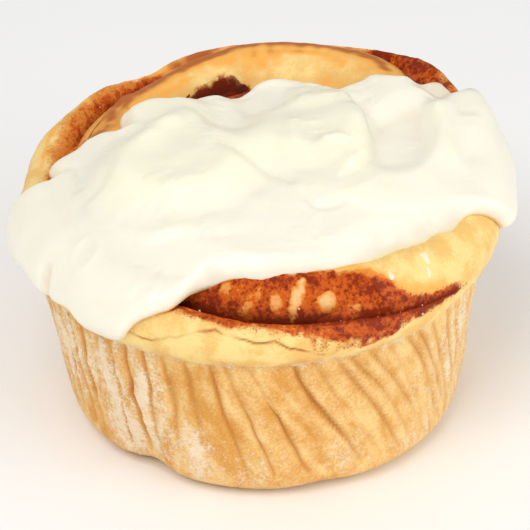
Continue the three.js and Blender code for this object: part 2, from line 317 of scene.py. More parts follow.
@dataclass(frozen=True)
class RollShape:
    """Sizes and form of the roll, which its pieces share; curves along the coil go by degrees from its tail."""

    base_radius: float = 31.0
    base_corner: float = 6.2
    base_offset: float = 0.8
    cup_radius: float = 40.9
    cup_height: float = 32.3
    cup_lean: float = -1.6
    rim_middle: float = 44.4
    rim_shift: tuple[float, float] = (-0.3, 1.5)
    rim_level: float = 38.8
    rim_rise: tuple[float, float] = (1.0, 2.2)
    tail_angle: float = math.radians(-33.0)
    coil_pitch: float = 13.2
    coil_taper: float = 0.82
    coil_start: float = math.radians(24.0)
    coil_end: float = math.radians(1040.0)
    coil_fade: float = FULL_TURN / 4.0
    outer_groove_depth: float = 3.2
    inner_groove_depth: float = 5.5
    deepening: Span = (0.85 * FULL_TURN, 1.2 * FULL_TURN)
    groove_rounding: float = 3.0
    groove_insets: Knots = (
        (0, 0), (25, 2), (57, 4), (78, 6.4), (130, 9), (170, 7.5), (200, 4.4), (222, 2.5), (255, 2.3),
        (271, 2.8), (283, 6), (300, 8), (327, 10.5), (360, 13.2),
    )
    crown_heights: Knots = (
        (0, 38.4), (25, 39.8), (57, 41.3), (100, 42.5), (147, 44), (177, 46.7), (195, 46.6), (208, 46),
        (225, 48.7), (255, 50.1), (270, 51.8), (283, 53.6), (290, 53.7), (312, 50.5), (330, 48), (360, 46.5),
        (417, 47.2), (507, 47.8), (560, 48.8), (580, 50.6), (592, 52.6), (612, 53.4), (635, 53.5), (655, 52.2),
        (690, 49.2), (1080, 48.5),
    )
    smears: tuple[Smear, ...] = (
        Smear(38, 45, 2.8, 6.0), Smear(162, 28, 4.2, 1.0), Smear(292, 13, 5.5, 1.6), Smear(585, 20, 1.6, 2.0),
    )
    least_smear: float = 0.8
    smear_power: int = 4
    smear_start: Span = (4.0, 36.0)
    smear_start_share: float = 0.12
    border: StainBorder = StainBorder()
    front_end: Span = (100.0, 130.0)
    stain_outward: Knots = (
        (0, 0.5), (4, 1), (10, 1.9), (16, 3.6), (25, 6.4), (33, 7.5), (39, 6.8), (47, 5.4), (57, 4.7), (75, 5.2),
        (95, 5.6), (115, 5), (150, 4.8), (175, 4.6), (195, 3.6), (206, 2), (214, 0.4), (258, 0.5), (264, 1.6),
        (270, 4.2), (280, 7.5), (290, 9.5), (300, 9), (308, 5), (318, 1.5), (330, 0.4), (345, 0.2), (562, 0.2),
        (568, 1.8), (576, 3.2), (584, 3), (590, 1.2), (595, 0.2), (1080, 0.2),
    )
    stain_inward: Knots = (
        (0, 0.8), (4, 1.3), (10, 2), (16, 2.8), (22, 3.8), (28, 5), (38, 6.8), (60, 7.4), (95, 6.5),
        (120, 1.6), (150, 1.3), (200, 1), (230, 0.3), (272, 0.6), (281, 3), (300, 3.8), (320, 0.6), (345, 0.1),
        (558, 0.1), (568, 1.8), (576, 6), (590, 6.6), (595, 3), (599, 0.1), (1080, 0.1),
    )
    cinnamon_depth: Knots = (
        (0, 0), (8, 0), (16, 0.04), (26, 0.08), (60, 0.08), (90, 0.12), (110, 0.05), (150, -0.48), (200, -0.4),
        (258, 0.2), (268, 0.25), (312, 0.1), (340, 0), (540, 0), (562, 0.35), (612, 0.35), (1080, 0.3),
    )
    core_depth: Knots = (
        (0, 0.6), (14, 0.7), (30, 0.9), (100, 0.8), (125, 0.4), (150, 0.2), (203, 0.35), (214, 0), (558, 0),
        (572, 0.4), (596, 0.4), (608, 0), (1080, 0),
    )
    core_width: Knots = ((0, 1.0), (105, 1.0), (150, 1.1), (210, 1.0), (1080, 1.8))
    core_shift: float = 0.4
    face_start: Span = (12.0, 28.0)
    face_bands: Knots = ((0, 0.02), (0.2, -0.08), (0.42, -0.06), (0.56, 0.14), (0.74, 0.14), (1.3, 0.1))
    glow_shares: Span = (0.72, 0.88)
    glow_start: Span = (14.0, 24.0)
    glow_end: Span = (46.0, 60.0)
    glow_strength: float = 1.1
    crevice_depth: Knots = (
        (0, 0), (14, 0.5), (30, 1.2), (100, 1.2), (130, 0.35), (195, 0.35), (215, 0), (558, 0), (570, 2.2),
        (577, 2.4), (586, 2.0), (593, 0.4), (597, 0), (1080, 0),
    )
    crevice_half: Knots = ((0, 0.5), (360, 0.5), (558, 1.7), (1080, 1.7))
    swell_ripples: Ripples = (Ripple(0.36, 13.0, 3), Ripple(0.16, 5.0, 4))

    def rim_radius(self, theta: Numbers) -> Numbers:
        """Radius of the rim in a direction."""
        return self.rim_middle + self.rim_shift[0] * np.cos(theta) + self.rim_shift[1] * np.sin(theta)

    def rim_height(self, theta: Numbers) -> Numbers:
        """Height of the rim in a direction."""
        return self.rim_level + self.rim_rise[0] * np.cos(theta) + self.rim_rise[1] * np.sin(theta)

    def side_offset(self, height: Numbers) -> Numbers:
        """Sideways offset of the roll's middle, which drifts up to the cup's edge and comes back at the rim."""
        at_cup = self.base_offset + self.cup_lean
        below = self.base_offset + self.cup_lean * height / self.cup_height
        above = at_cup * fading(height, self.cup_height, self.rim_level)
        return np.where(height < self.cup_height, below, above)

    def turn_from_tail(self, theta: Numbers) -> Numbers:
        """Clockwise turn from the tail to a direction, within the first turn."""
        return np.mod(self.tail_angle - theta, FULL_TURN)

    def groove_inset(self, turn: Numbers) -> Numbers:
        """Distance of the groove from the rim, at a turn from the tail."""
        turns = np.floor(turn / FULL_TURN)
        rest = np.degrees(turn - turns * FULL_TURN)
        return turns * self.coil_pitch + through_knots(self.groove_insets, rest)

    def crown_height(self, turn: Numbers) -> Numbers:
        """Height of the strip's crown, at a turn from the tail."""
        return through_knots(self.crown_heights, np.degrees(turn))

    def coil_ending(self, turn: Numbers) -> Numbers:
        """Share by which the groove has died out at the inner end of the coil."""
        return smoothstep(turn, self.coil_end - self.coil_fade, self.coil_end)

    def groove_floor(self, turn: Numbers) -> Numbers:
        """Height of the groove's bottom, at a turn from the tail."""
        inner = smoothstep(turn, *self.deepening)
        depth = blend(self.outer_groove_depth, self.inner_groove_depth, inner) * (1.0 - self.coil_ending(turn))
        return self.crown_height(turn) - depth * (1.0 - np.exp(-self.groove_inset(turn) / self.groove_rounding))

    def top_height(self, radius: Numbers, theta: Numbers) -> Numbers:
        """Height of the coiled top, where each turn of the strip is an arch between two grooves.

        Args:
            radius: Distances from the middle.
            theta: Directions in radians.

        Returns:
            The height at each place.
        """
        radius, theta = np.broadcast_arrays(radius, theta)
        rim = self.rim_radius(theta)
        turn = self.turn_from_tail(theta)
        outer = rim
        outer_floor = self.rim_height(theta)
        roundness = np.ones_like(rim)
        inner = rim - self.groove_inset(turn)
        for _ in range(int(self.coil_end / FULL_TURN) + 1):
            deeper = (radius < inner) & (turn + FULL_TURN < self.coil_end)
            outer = np.where(deeper, inner, outer)
            outer_floor = np.where(deeper, self.groove_floor(turn), outer_floor)
            roundness = np.where(deeper, np.exp(-self.groove_inset(turn) / self.groove_rounding), roundness)
            turn = np.where(deeper, turn + FULL_TURN, turn)
            inner = np.where(deeper, rim - self.groove_inset(turn), inner)
        core = radius < inner
        outer = np.where(core, inner, outer)
        outer_floor = np.where(core, self.groove_floor(turn), outer_floor)
        inner = np.where(core, -outer, inner)
        crown = self.crown_height(turn)
        middle = (outer + inner) / 2.0
        half = np.maximum((outer - inner) / 2.0, LEAST_LENGTH)
        u = np.minimum(np.abs(radius - middle) / half, 1.0)
        inward_side = crown - (crown - self.groove_floor(turn)) * u * u
        fall = blend(u * u, 1.0 - np.sqrt(1.0 - u * u), roundness)
        return np.where(radius < middle, inward_side, crown - (crown - outer_floor) * fall)

    def nearest_groove(self, radius: Numbers, theta: Numbers) -> tuple[Numbers, Numbers]:
        """Turn of the nearest groove and the distance outward from it.

        Args:
            radius: Distances from the middle.
            theta: Directions in radians.

        Returns:
            The turn from the tail, and the signed distance.
        """
        first = self.turn_from_tail(theta)
        turn = first
        shift = radius - self.rim_radius(theta) + self.groove_inset(first)
        for loop in (1, 2):
            other = first + loop * FULL_TURN
            other_shift = radius - self.rim_radius(theta) + self.groove_inset(other)
            nearer = np.abs(other_shift) < np.abs(shift)
            turn = np.where(nearer, other, turn)
            shift = np.where(nearer, other_shift, shift)
        return turn, shift

    def smear_width(self, turn: Numbers, side: GrooveSide) -> Numbers:
        """How far the cinnamon spreads to one side of the groove.

        Args:
            turn: Turn from the tail.
            side: Side of the groove.

        Returns:
            The width in millimetres.
        """
        degrees = np.degrees(turn)
        width = np.full(np.shape(turn), self.least_smear)
        for smear in self.smears:
            reach = smear.outward if side is GrooveSide.OUTWARD else smear.inward
            width = width + reach * bell(degrees - smear.at, smear.span, self.smear_power)
        if side is GrooveSide.INWARD:
            return width * blend(self.smear_start_share, 1.0, smoothstep(degrees, *self.smear_start))
        return width

    def stain(self, points: Numbers) -> Numbers:
        """Share of cinnamon on the top at each point.

        Args:
            points: Places in millimetres.

        Returns:
            A share from 0 to 1, ragged at the border and softer towards the back.
        """
        border = self.border
        radius, theta = polar(points)
        height = points[..., 2]
        turn, shift = self.nearest_groove(radius, theta)
        degrees = np.degrees(turn)
        outermost = turn < FULL_TURN
        reach = np.where(shift > 0.0, through_knots(self.stain_outward, degrees),
                         through_knots(self.stain_inward, degrees))
        outer_half = 0.5 * np.maximum(self.groove_inset(self.turn_from_tail(theta)), border.least_inset)
        below_crown = np.maximum(self.crown_height(turn) - height, 0.0) * outermost
        under = np.maximum(self.groove_floor(turn) - border.lip_gap - height, 0.0) * outermost * border.lip_pull
        over = shift + border.crown_pull * below_crown * smoothstep(shift / outer_half, *border.crown_shares)
        over = over + under * fading(shift, *border.lip_fade)
        shift = np.where(shift < 0.0, shift - self.climb(points, turn) - under, over)
        far = np.abs(shift) / np.maximum(reach, border.least_reach) + rippled(points, border.ragged)
        front = fading(degrees, *self.front_end) + (degrees > border.heart_from)
        soft = fading(far, *border.soft_fade) * border.soft_most
        firm = fading(far, np.where(shift > 0.0, *border.firm_from), border.firm_to)
        tail = np.where(turn < math.pi, smoothstep(degrees, *border.tail_start), 1.0)
        return blend(soft, firm, front) * smoothstep(reach, *border.reach_start) * tail

    def climb(self, points: Numbers, turn: Numbers) -> Numbers:
        """Height above the groove's bottom near the tail, where the top is too steep for a distance in plan."""
        above = np.maximum(points[..., 2] - self.groove_floor(turn), 0.0)
        return self.border.climb_pull * above * fading(np.degrees(turn), *self.border.climb_end)

    def deep(self, points: Numbers) -> Numbers:
        """How thick and dark the cinnamon lies at each point, from -1 to 1."""
        turn, shift = self.nearest_groove(*polar(points))
        degrees = np.degrees(turn)
        away = np.where(shift < 0.0, shift - self.climb(points, turn), shift) - self.core_shift
        core = bell(away, through_knots(self.core_width, degrees))
        face = np.maximum(through_knots(self.stain_inward, degrees), self.border.least_face)
        up_face = np.maximum(-shift, 0.0) / face
        front = smoothstep(degrees, *self.face_start) * fading(degrees, *self.front_end) * (shift < 0.0)
        bands = front * through_knots(self.face_bands, up_face)
        glow = smoothstep(up_face, *self.glow_shares)
        glow = glow * smoothstep(degrees, *self.glow_start) * fading(degrees, *self.glow_end)
        depth = through_knots(self.cinnamon_depth, degrees) + through_knots(self.core_depth, degrees) * core
        return np.clip(depth + bands - self.glow_strength * glow, -1.0, 1.0)

    def crevice(self, points: Numbers) -> Numbers:
        """Depth of the narrow crevice along the groove at each point, in millimetres."""
        turn, shift = self.nearest_groove(*polar(points))
        degrees = np.degrees(turn)
        return through_knots(self.crevice_depth, degrees) * bell(shift, through_knots(self.crevice_half, degrees))

    def swell(self, points: Numbers) -> Numbers:
        """Gentle unevenness of the risen dough, in millimetres."""
        return rippled(points, self.swell_ripples)


@dataclass(frozen=True)
class NoiseLayer:
    """One layer of a shader's noise: size of its features in millimetres, detail and share."""

    size: float
    detail: float
    share: float


class Wiring:
    """Adds nodes to one node tree and joins them."""

    def __init__(self, tree: Tree) -> None:
        """Keep the tree and start it empty."""
        self.tree = tree
        self.tree.nodes.clear()

    def add(self, kind: str, **settings: object) -> Node:
        """New node of a kind with its settings."""
        node = self.tree.nodes.new(kind)
        for name, value in settings.items():
            setattr(node, name, value)
        return node

    def feed(self, target: Socket, value: Feed) -> None:
        """Join a socket to the target, or set the target to a plain value."""
        if isinstance(value, Socket):
            self.tree.links.new(value, target)
        else:
            target.default_value = value

    def dress(self, node: Node, **sockets: Feed) -> None:
        """Feed the sockets of a node, each named by its words with underscores between them."""
        for name, value in sockets.items():
            self.feed(node.inputs[name.replace("_", " ")], value)

    def attribute(self, name: str) -> Socket:
        """Value of a mesh attribute."""
        return self.add("ShaderNodeAttribute", attribute_name=name).outputs["Fac"]

    def math(self, operation: str, first: Feed, second: Feed) -> Socket:
        """Result of one operation on two values."""
        node = self.add("ShaderNodeMath", operation=operation)
        self.feed(node.inputs[0], first)
        self.feed(node.inputs[1], second)
        return node.outputs["Value"]

    def total(self, start: Feed, *parts: tuple[Feed, float]) -> Feed:
        """Sum of a value and of parts that are each scaled by a number."""
        for value, scale in parts:
            start = self.math("ADD", start, self.math("MULTIPLY", value, scale))
        return start

    def mix(self, share: Feed, first: Feed, second: Feed) -> Socket:
        """Colour between two colours."""
        node = self.add("ShaderNodeMix", data_type="RGBA")
        self.feed(node.inputs["Factor"], share)
        self.feed(node.inputs[6], first)
        self.feed(node.inputs[7], second)
        return node.outputs[2]

    def rise(self, value: Feed, low: Feed, high: Feed) -> Socket:
        """Smooth mask that rises from 0 at low to 1 at high."""
        node = self.add("ShaderNodeMapRange", interpolation_type="SMOOTHSTEP")
        self.dress(node, Value=value, From_Min=low, From_Max=high)
        return node.outputs["Result"]

    def span(self, value: Feed, start: Feed, end: Feed) -> Socket:
        """Value between start and end for a mask from 0 to 1."""
        node = self.add("ShaderNodeMapRange")
        self.dress(node, Value=value, To_Min=start, To_Max=end)
        return node.outputs["Result"]

    def millimetres(self) -> Socket:
        """Place on the piece in millimetres."""
        scale = self.add("ShaderNodeVectorMath", operation="SCALE")
        self.feed(scale.inputs[0], self.add("ShaderNodeTexCoord").outputs["Object"])
        self.dress(scale, Scale=1.0 / METRES)
        return scale.outputs["Vector"]

    def noise(self, place: Feed, size: float, detail: float = 3.0) -> Socket:
        """Noise with features of a size in millimetres."""
        node = self.add("ShaderNodeTexNoise")
        self.dress(node, Vector=place, Scale=1.0 / size, Detail=detail)
        return node.outputs["Fac"]

    def layered(self, place: Feed, layers: tuple[NoiseLayer, ...]) -> Socket:
        """Sum of layers of noise, each with its share."""
        first, *others = [(self.noise(place, layer.size, layer.detail), layer.share) for layer in layers]
        return self.total(self.math("MULTIPLY", *first), *others)

    def bump(self, height: Feed, distance: float) -> Socket:
        """Normal of a small relief whose full height is a distance in millimetres."""
        node = self.add("ShaderNodeBump")
        self.dress(node, Strength=1.0, Distance=distance * METRES, Height=height)
        return node.outputs["Normal"]

    def group(self, tree: Tree, **inputs: Feed) -> Node:
        """Shared effect placed in this tree with its own values."""
        node = self.add("ShaderNodeGroup", node_tree=tree)
        for name, value in inputs.items():
            self.feed(node.inputs[name.replace("_", " ").capitalize()], value)
        return node


class Effect(Enum):
    """Effects that more than one finish uses."""

    CRUMB_GRAIN = "crumb grain"
    CINNAMON_DUST = "cinnamon dust"


@dataclass
class SharedEffects:
    """Shader node groups for the effects that several finishes share; noise goes by size and detail."""

    mottle_noise: Span = (5.0, 4.0)
    mottle_range: Span = (0.3, 0.7)
    fine_size: float = 0.5
    coarse_size: float = 2.2
    dust_layers: tuple[NoiseLayer, ...] = (NoiseLayer(0.42, 2.0, 0.55), NoiseLayer(1.6, 3.0, 0.45))
    dust_level: float = 0.92
    dust_gain: float = 0.8
    dust_edge: Span = (-0.3, 0.26)
    blotch_layers: tuple[NoiseLayer, ...] = (NoiseLayer(3.6, 3.0, 0.52), NoiseLayer(1.0, 3.0, 0.48))
    blotch_gain: float = 0.3
    dark_range: Span = (0.48, 0.62)
    light_range: Span = (0.47, 0.34)
    speck_noise: Span = (0.45, 2.0)
    speck_range: Span = (0.56, 0.68)
    groups: dict[Effect, Tree] = field(default_factory=dict)

    def build(self) -> "SharedEffects":
        """Make every group once."""
        self.groups[Effect.CRUMB_GRAIN] = self._crumb_grain()
        self.groups[Effect.CINNAMON_DUST] = self._cinnamon_dust()
        return self

    def _start(self, effect: Effect, inputs: tuple[str, ...], outputs: tuple[str, ...]) -> tuple[Wiring, Node, Node]:
        """Group with named value sockets.

        Args:
            effect: The effect, which names the group.
            inputs: Names of the inputs.
            outputs: Names of the outputs.

        Returns:
            The wiring of the new group, its entry and its exit.
        """
        tree = bpy.data.node_groups.new(effect.value, "ShaderNodeTree")
        for way, names in (("INPUT", inputs), ("OUTPUT", outputs)):
            for name in names:
                tree.interface.new_socket(name, in_out=way, socket_type="NodeSocketFloat")
        wiring = Wiring(tree)
        return wiring, wiring.add("NodeGroupInput"), wiring.add("NodeGroupOutput")

    def _crumb_grain(self) -> Tree:
        """Mottling and fine relief of baked crumb and of icing."""
        wiring, entry, leave = self._start(Effect.CRUMB_GRAIN, ("Coarseness",), ("Mottle", "Height"))
        place = wiring.millimetres()
        mottle = wiring.rise(wiring.noise(place, *self.mottle_noise), *self.mottle_range)
        height = wiring.add("ShaderNodeMix", data_type="FLOAT")
        wiring.feed(height.inputs["Factor"], entry.outputs["Coarseness"])
        wiring.feed(height.inputs[2], wiring.noise(place, self.fine_size))
        wiring.feed(height.inputs[3], wiring.noise(place, self.coarse_size))
        wiring.dress(leave, Mottle=mottle, Height=height.outputs[0])
        return wiring.tree

    def _cinnamon_dust(self) -> Tree:
        """Specks of cinnamon that run together where there is more of it."""
        outputs = ("Mask", "Dark", "Light", "Speck")
        wiring, entry, leave = self._start(Effect.CINNAMON_DUST, ("Amount", "Depth"), outputs)
        place = wiring.millimetres()
        gained = wiring.math("MULTIPLY", entry.outputs["Amount"], self.dust_gain)
        threshold = wiring.math("SUBTRACT", self.dust_level, gained)
        edges = [wiring.math("ADD", threshold, step) for step in self.dust_edge]
        deeper = wiring.total(wiring.layered(place, self.blotch_layers), (entry.outputs["Depth"], self.blotch_gain))
        wiring.dress(
            leave,
            Mask=wiring.rise(wiring.layered(place, self.dust_layers), *edges),
            Dark=wiring.rise(deeper, *self.dark_range),
            Light=wiring.rise(deeper, *self.light_range),
            Speck=wiring.rise(wiring.noise(place, *self.speck_noise), *self.speck_range),
        )
        return wiring.tree


@dataclass(frozen=True)
class Finish:
    """A named finish; each kind wires its own material."""

    name: str

    def material(self, effects: SharedEffects) -> bpy.types.Material:
        """Material of this finish.

        Args:
            effects: The shared node groups.

        Returns:
            The new material.
        """
        made = bpy.data.materials.new(self.name)
        made.use_nodes = True
        wiring = Wiring(made.node_tree)
        surface = wiring.add("ShaderNodeBsdfPrincipled")
        wiring.dress(wiring.add("ShaderNodeOutputMaterial"), Surface=surface.outputs["BSDF"])
        self.wire(wiring, surface, effects)
        return made

    def wire(self, wiring: Wiring, surface: Node, effects: SharedEffects) -> None:
        """Join the finish to its shader; each kind of finish has its own."""
        raise NotImplementedError


@dataclass(frozen=True)
class CinnamonTones:
    """Colours of cinnamon, from where it lies thin to its darkest grains."""

    thin: Colour = srgb(228, 138, 54)
    coat: Colour = srgb(202, 88, 22)
    dark: Colour = srgb(138, 42, 8)
    speck: Colour = srgb(108, 30, 6)
    border_depth: Span = (0.3, 0.8)
    border_stain: Span = (0.8, 0.3)
    speck_stain: Span = (0.08, 0.5)
    speck_depth: Span = (-0.9, 0.1)
    speck_cover: Span = (0.1, 0.7)

    def over(self, wiring: Wiring, effects: SharedEffects, ground: Feed) -> Socket:
        """Colour of the ground with cinnamon over it, by the piece's own stain.

        Args:
            wiring: Wiring of the material.
            effects: The shared node groups.
            ground: Colour underneath.

        Returns:
            The colour with the cinnamon.
        """
        stain = wiring.attribute("stain")
        deep = wiring.attribute("deep")
        dust = wiring.group(effects.groups[Effect.CINNAMON_DUST], amount=stain, depth=deep)
        coat = wiring.mix(dust.outputs["Dark"], self.coat, self.dark)
        coat = wiring.mix(dust.outputs["Light"], coat, self.thin)
        border = wiring.mix(wiring.rise(deep, *self.border_depth), self.thin, self.coat)
        coat = wiring.mix(wiring.rise(stain, *self.border_stain), coat, border)
        colour = wiring.mix(dust.outputs["Mask"], ground, coat)
        grains = wiring.math("MULTIPLY", dust.outputs["Speck"], wiring.rise(stain, *self.speck_stain))
        cover = wiring.span(wiring.rise(deep, *self.speck_depth), *self.speck_cover)
        return wiring.mix(wiring.math("MULTIPLY", grains, cover), colour, self.speck)


@dataclass(frozen=True)
class DoughFinish(Finish):
    """Baked dough: tan pleated side, pale lip, browned crowns, flour and cinnamon."""

    name: str = "baked dough"
    side: Colour = srgb(221, 155, 70)
    side_pale: Colour = srgb(248, 210, 140)
    # Painted shade: darker colour for the pleats' valleys and a soft band beside each.
    pleat_valley_and_shade: Colour = srgb(206, 136, 58)
    flour: Colour = srgb(248, 232, 204)
    lip: Colour = srgb(238, 192, 112)
    plain: Colour = srgb(249, 218, 144)
    golden: Colour = srgb(246, 178, 84)
    crust: Colour = srgb(188, 104, 42)
    # Painted shade: darker colour of the shade inside the crack along the lip.
    crack: Colour = srgb(184, 118, 48)
    cinnamon: CinnamonTones = CinnamonTones()
    coarseness: float = 0.35
    speckle_size: float = 0.5
    mottle_share: float = 0.5
    streak_share: float = 0.3
    speckle_share: float = 1.4
    pale_range: Span = (-0.4, 0.95)
    flour_layers: tuple[NoiseLayer, ...] = (NoiseLayer(1.5, 4.0, 0.45), NoiseLayer(0.45, 2.0, 0.55))
    flour_level: float = 0.74
    flour_gain: float = 0.46
    flour_edge: Span = (-0.11, 0.13)
    flour_cover: float = 0.8
    plain_range: Span = (0.5, 1.5)
    bake_noise: Span = (2.6, 5.0)
    bake_share: float = 0.3
    golden_range: Span = (0.05, 0.5)
    crust_range: Span = (0.48, 1.0)
    roughness: Span = (0.6, 0.9)
    flour_relief: float = 0.8
    relief: float = 0.14
    shine: float = 0.22
    softness: float = 0.12
    soak_reach: Triple = (1.0, 0.5, 0.2)
    soak_depth: float = 0.002

    def wire(self, wiring: Wiring, surface: Node, effects: SharedEffects) -> None:
        """Lay the colours over each other from the crumb up to the cinnamon."""
        grain = wiring.group(effects.groups[Effect.CRUMB_GRAIN], coarseness=self.coarseness)
        mottle = grain.outputs["Mottle"]
        place = wiring.millimetres()
        speckle = wiring.noise(place, self.speckle_size)
        tone = wiring.total(
            wiring.math("MULTIPLY", mottle, self.mottle_share),
            (wiring.attribute("streak"), self.streak_share),
            (wiring.math("SUBTRACT", speckle, 0.5), self.speckle_share),
        )
        side = wiring.mix(wiring.rise(tone, *self.pale_range), self.side, self.side_pale)
        # Painted shade in the pleats' valleys and beside them.
        side = wiring.mix(wiring.attribute("pleat_valley_and_shade"), side, self.pleat_valley_and_shade)
        gained = wiring.math("MULTIPLY", wiring.attribute("flour"), self.flour_gain)
        bare = wiring.math("SUBTRACT", self.flour_level, gained)
        edges = [wiring.math("ADD", bare, step) for step in self.flour_edge]
        floured = wiring.rise(wiring.layered(place, self.flour_layers), *edges)
        top = wiring.mix(wiring.rise(wiring.math("ADD", mottle, speckle), *self.plain_range), self.lip, self.plain)
        uneven_bake = wiring.math("SUBTRACT", wiring.noise(place, *self.bake_noise), 0.5)
        brown = wiring.total(wiring.attribute("brown"), (uneven_bake, self.bake_share))
        top = wiring.mix(wiring.rise(brown, *self.golden_range), top, self.golden)
        top = wiring.mix(wiring.rise(brown, *self.crust_range), top, self.crust)
        colour = wiring.mix(wiring.attribute("lip"), side, top)
        colour = wiring.mix(wiring.math("MULTIPLY", floured, self.flour_cover), colour, self.flour)
        # Painted shade inside the crack along the lip.
        colour = wiring.mix(wiring.attribute("crack"), colour, self.crack)
        colour = self.cinnamon.over(wiring, effects, colour)
        relief = wiring.total(grain.outputs["Height"], (floured, self.flour_relief))
        wiring.dress(
            surface,
            Base_Color=colour,
            Roughness=wiring.span(floured, *self.roughness),
            Normal=wiring.bump(relief, self.relief),
            Specular_IOR_Level=self.shine,
            Subsurface_Weight=self.softness,
            Subsurface_Radius=self.soak_reach,
            Subsurface_Scale=self.soak_depth,
        )


@dataclass(frozen=True)
class FillingFinish(Finish):
    """Grainy cinnamon and sugar that lets pale dough show in places, with painted shade along the crevice."""

    name: str = "cinnamon filling"
    dough: Colour = srgb(240, 190, 108)
    # Painted shade: near-black colour of the shade in the crevice along the groove.
    crevice: Colour = srgb(78, 22, 6)
    pale: Colour = srgb(236, 192, 130)
    cinnamon: CinnamonTones = CinnamonTones()
    coarseness: float = 0.2
    broken_size: float = 0.7
    broken_share: float = 0.9
    thin_range: Span = (0.1, 0.5)
    pale_range: Span = (0.3, 1.1)
    roughness: Span = (0.5, 0.75)
    relief: float = 0.25
    shine: float = 0.12

    def wire(self, wiring: Wiring, surface: Node, effects: SharedEffects) -> None:
        """Cinnamon over dough, then the pale spots and the painted shade in the crevice."""
        grain = wiring.group(effects.groups[Effect.CRUMB_GRAIN], coarseness=self.coarseness)
        colour = self.cinnamon.over(wiring, effects, self.dough)
        broken = wiring.math("SUBTRACT", wiring.noise(wiring.millimetres(), self.broken_size), 0.5)
        bare = wiring.total(wiring.attribute("bare"), (broken, self.broken_share))
        colour = wiring.mix(wiring.rise(bare, *self.thin_range), colour, self.cinnamon.thin)
        colour = wiring.mix(wiring.rise(bare, *self.pale_range), colour, self.pale)
        # Painted shade in the crevice along the groove.
        colour = wiring.mix(wiring.attribute("crevice"), colour, self.crevice)
        wiring.dress(
            surface,
            Base_Color=colour,
            Roughness=wiring.span(grain.outputs["Mottle"], *self.roughness),
            Normal=wiring.bump(grain.outputs["Height"], self.relief),
            Specular_IOR_Level=self.shine,
        )


@dataclass(frozen=True)
class IcingFinish(Finish):
    """Soft cream icing, richer where it is thick and warmer where the dough shows through."""

    name: str = "cream icing"
    white: Colour = srgb(249, 242, 224)
    cream: Colour = srgb(252, 245, 220)
    thin: Colour = srgb(243, 228, 206)
    film: Colour = srgb(248, 222, 158)
    coarseness: float = 1.0
    mottle_share: float = 1.2
    cream_range: Span = (3.8, 7.0)
    thin_range: Span = (3.2, 1.0)
    film_range: Span = (0.9, 0.0)
    roughness: Span = (0.28, 0.4)
    relief: float = 0.06
    softness: float = 0.35
    soak_reach: Triple = (1.0, 0.8, 0.55)
    soak_depth: float = 0.003

    def wire(self, wiring: Wiring, surface: Node, effects: SharedEffects) -> None:
        """White to cream with the thickness, then the tint of thin places and of the film at the edge."""
        grain = wiring.group(effects.groups[Effect.CRUMB_GRAIN], coarseness=self.coarseness)
        thickness = wiring.attribute("thickness")
        body = wiring.total(thickness, (grain.outputs["Mottle"], self.mottle_share))
        colour = wiring.mix(wiring.rise(body, *self.cream_range), self.white, self.cream)
        colour = wiring.mix(wiring.rise(body, *self.thin_range), colour, self.thin)
        colour = wiring.mix(wiring.rise(thickness, *self.film_range), colour, self.film)
        wiring.dress(
            surface,
            Base_Color=colour,
            Roughness=wiring.span(grain.outputs["Mottle"], *self.roughness),
            Normal=wiring.bump(grain.outputs["Height"], self.relief),
            Subsurface_Weight=self.softness,
            Subsurface_Radius=self.soak_reach,
            Subsurface_Scale=self.soak_depth,
        )


@dataclass(frozen=True)
class GrainFinish(Finish):
    """Small loose grains: sugar, flour or cinnamon."""

    light: Colour
    deep: Colour
    roughness: Span

    def wire(self, wiring: Wiring, surface: Node, effects: SharedEffects) -> None:
        """Two tones with the shared grain."""
        grain = wiring.group(effects.groups[Effect.CRUMB_GRAIN], coarseness=0.0)
        wiring.dress(
            surface,
            Base_Color=wiring.mix(grain.outputs["Height"], self.light, self.deep),
            Roughness=wiring.span(grain.outputs["Mottle"], *self.roughness),
        )


@dataclass(frozen=True)
class FloorFinish(Finish):
    """Matt pale floor with a faint mottling."""

    name: str = "pale floor"
    tones: tuple[Colour, Colour] = (srgb(252, 252, 251), srgb(250, 250, 249))
    mottle_size: float = 60.0
    roughness: float = 0.9
    shine: float = 0.1

    def wire(self, wiring: Wiring, surface: Node, effects: SharedEffects) -> None:
        """Two tones that are nearly the same."""
        tone = wiring.noise(wiring.millimetres(), self.mottle_size)
        colour = wiring.mix(tone, *self.tones)
        wiring.dress(surface, Base_Color=colour, Roughness=self.roughness, Specular_IOR_Level=self.shine)


class Assembly:
    """A sub-assembly of the roll."""

    def build(self, effects: SharedEffects) -> list[Piece]:
        """Make the pieces and dress them; each sub-assembly has its own way.

        Args:
            effects: The shared node groups.

        Returns:
            The new pieces.
        """
        raise NotImplementedError


@dataclass(frozen=True)
class FlourPatch:
    """Patch of flour on the side: direction and width in degrees, height and tallness in millimetres."""

    direction: float
    width: float
    height: float
    tall: float
    amount: float


@dataclass(frozen=True)
class Dent:
    """Dent in the edge of the base: direction and width in degrees, depth in millimetres."""

    direction: float
    width: float
    depth: float


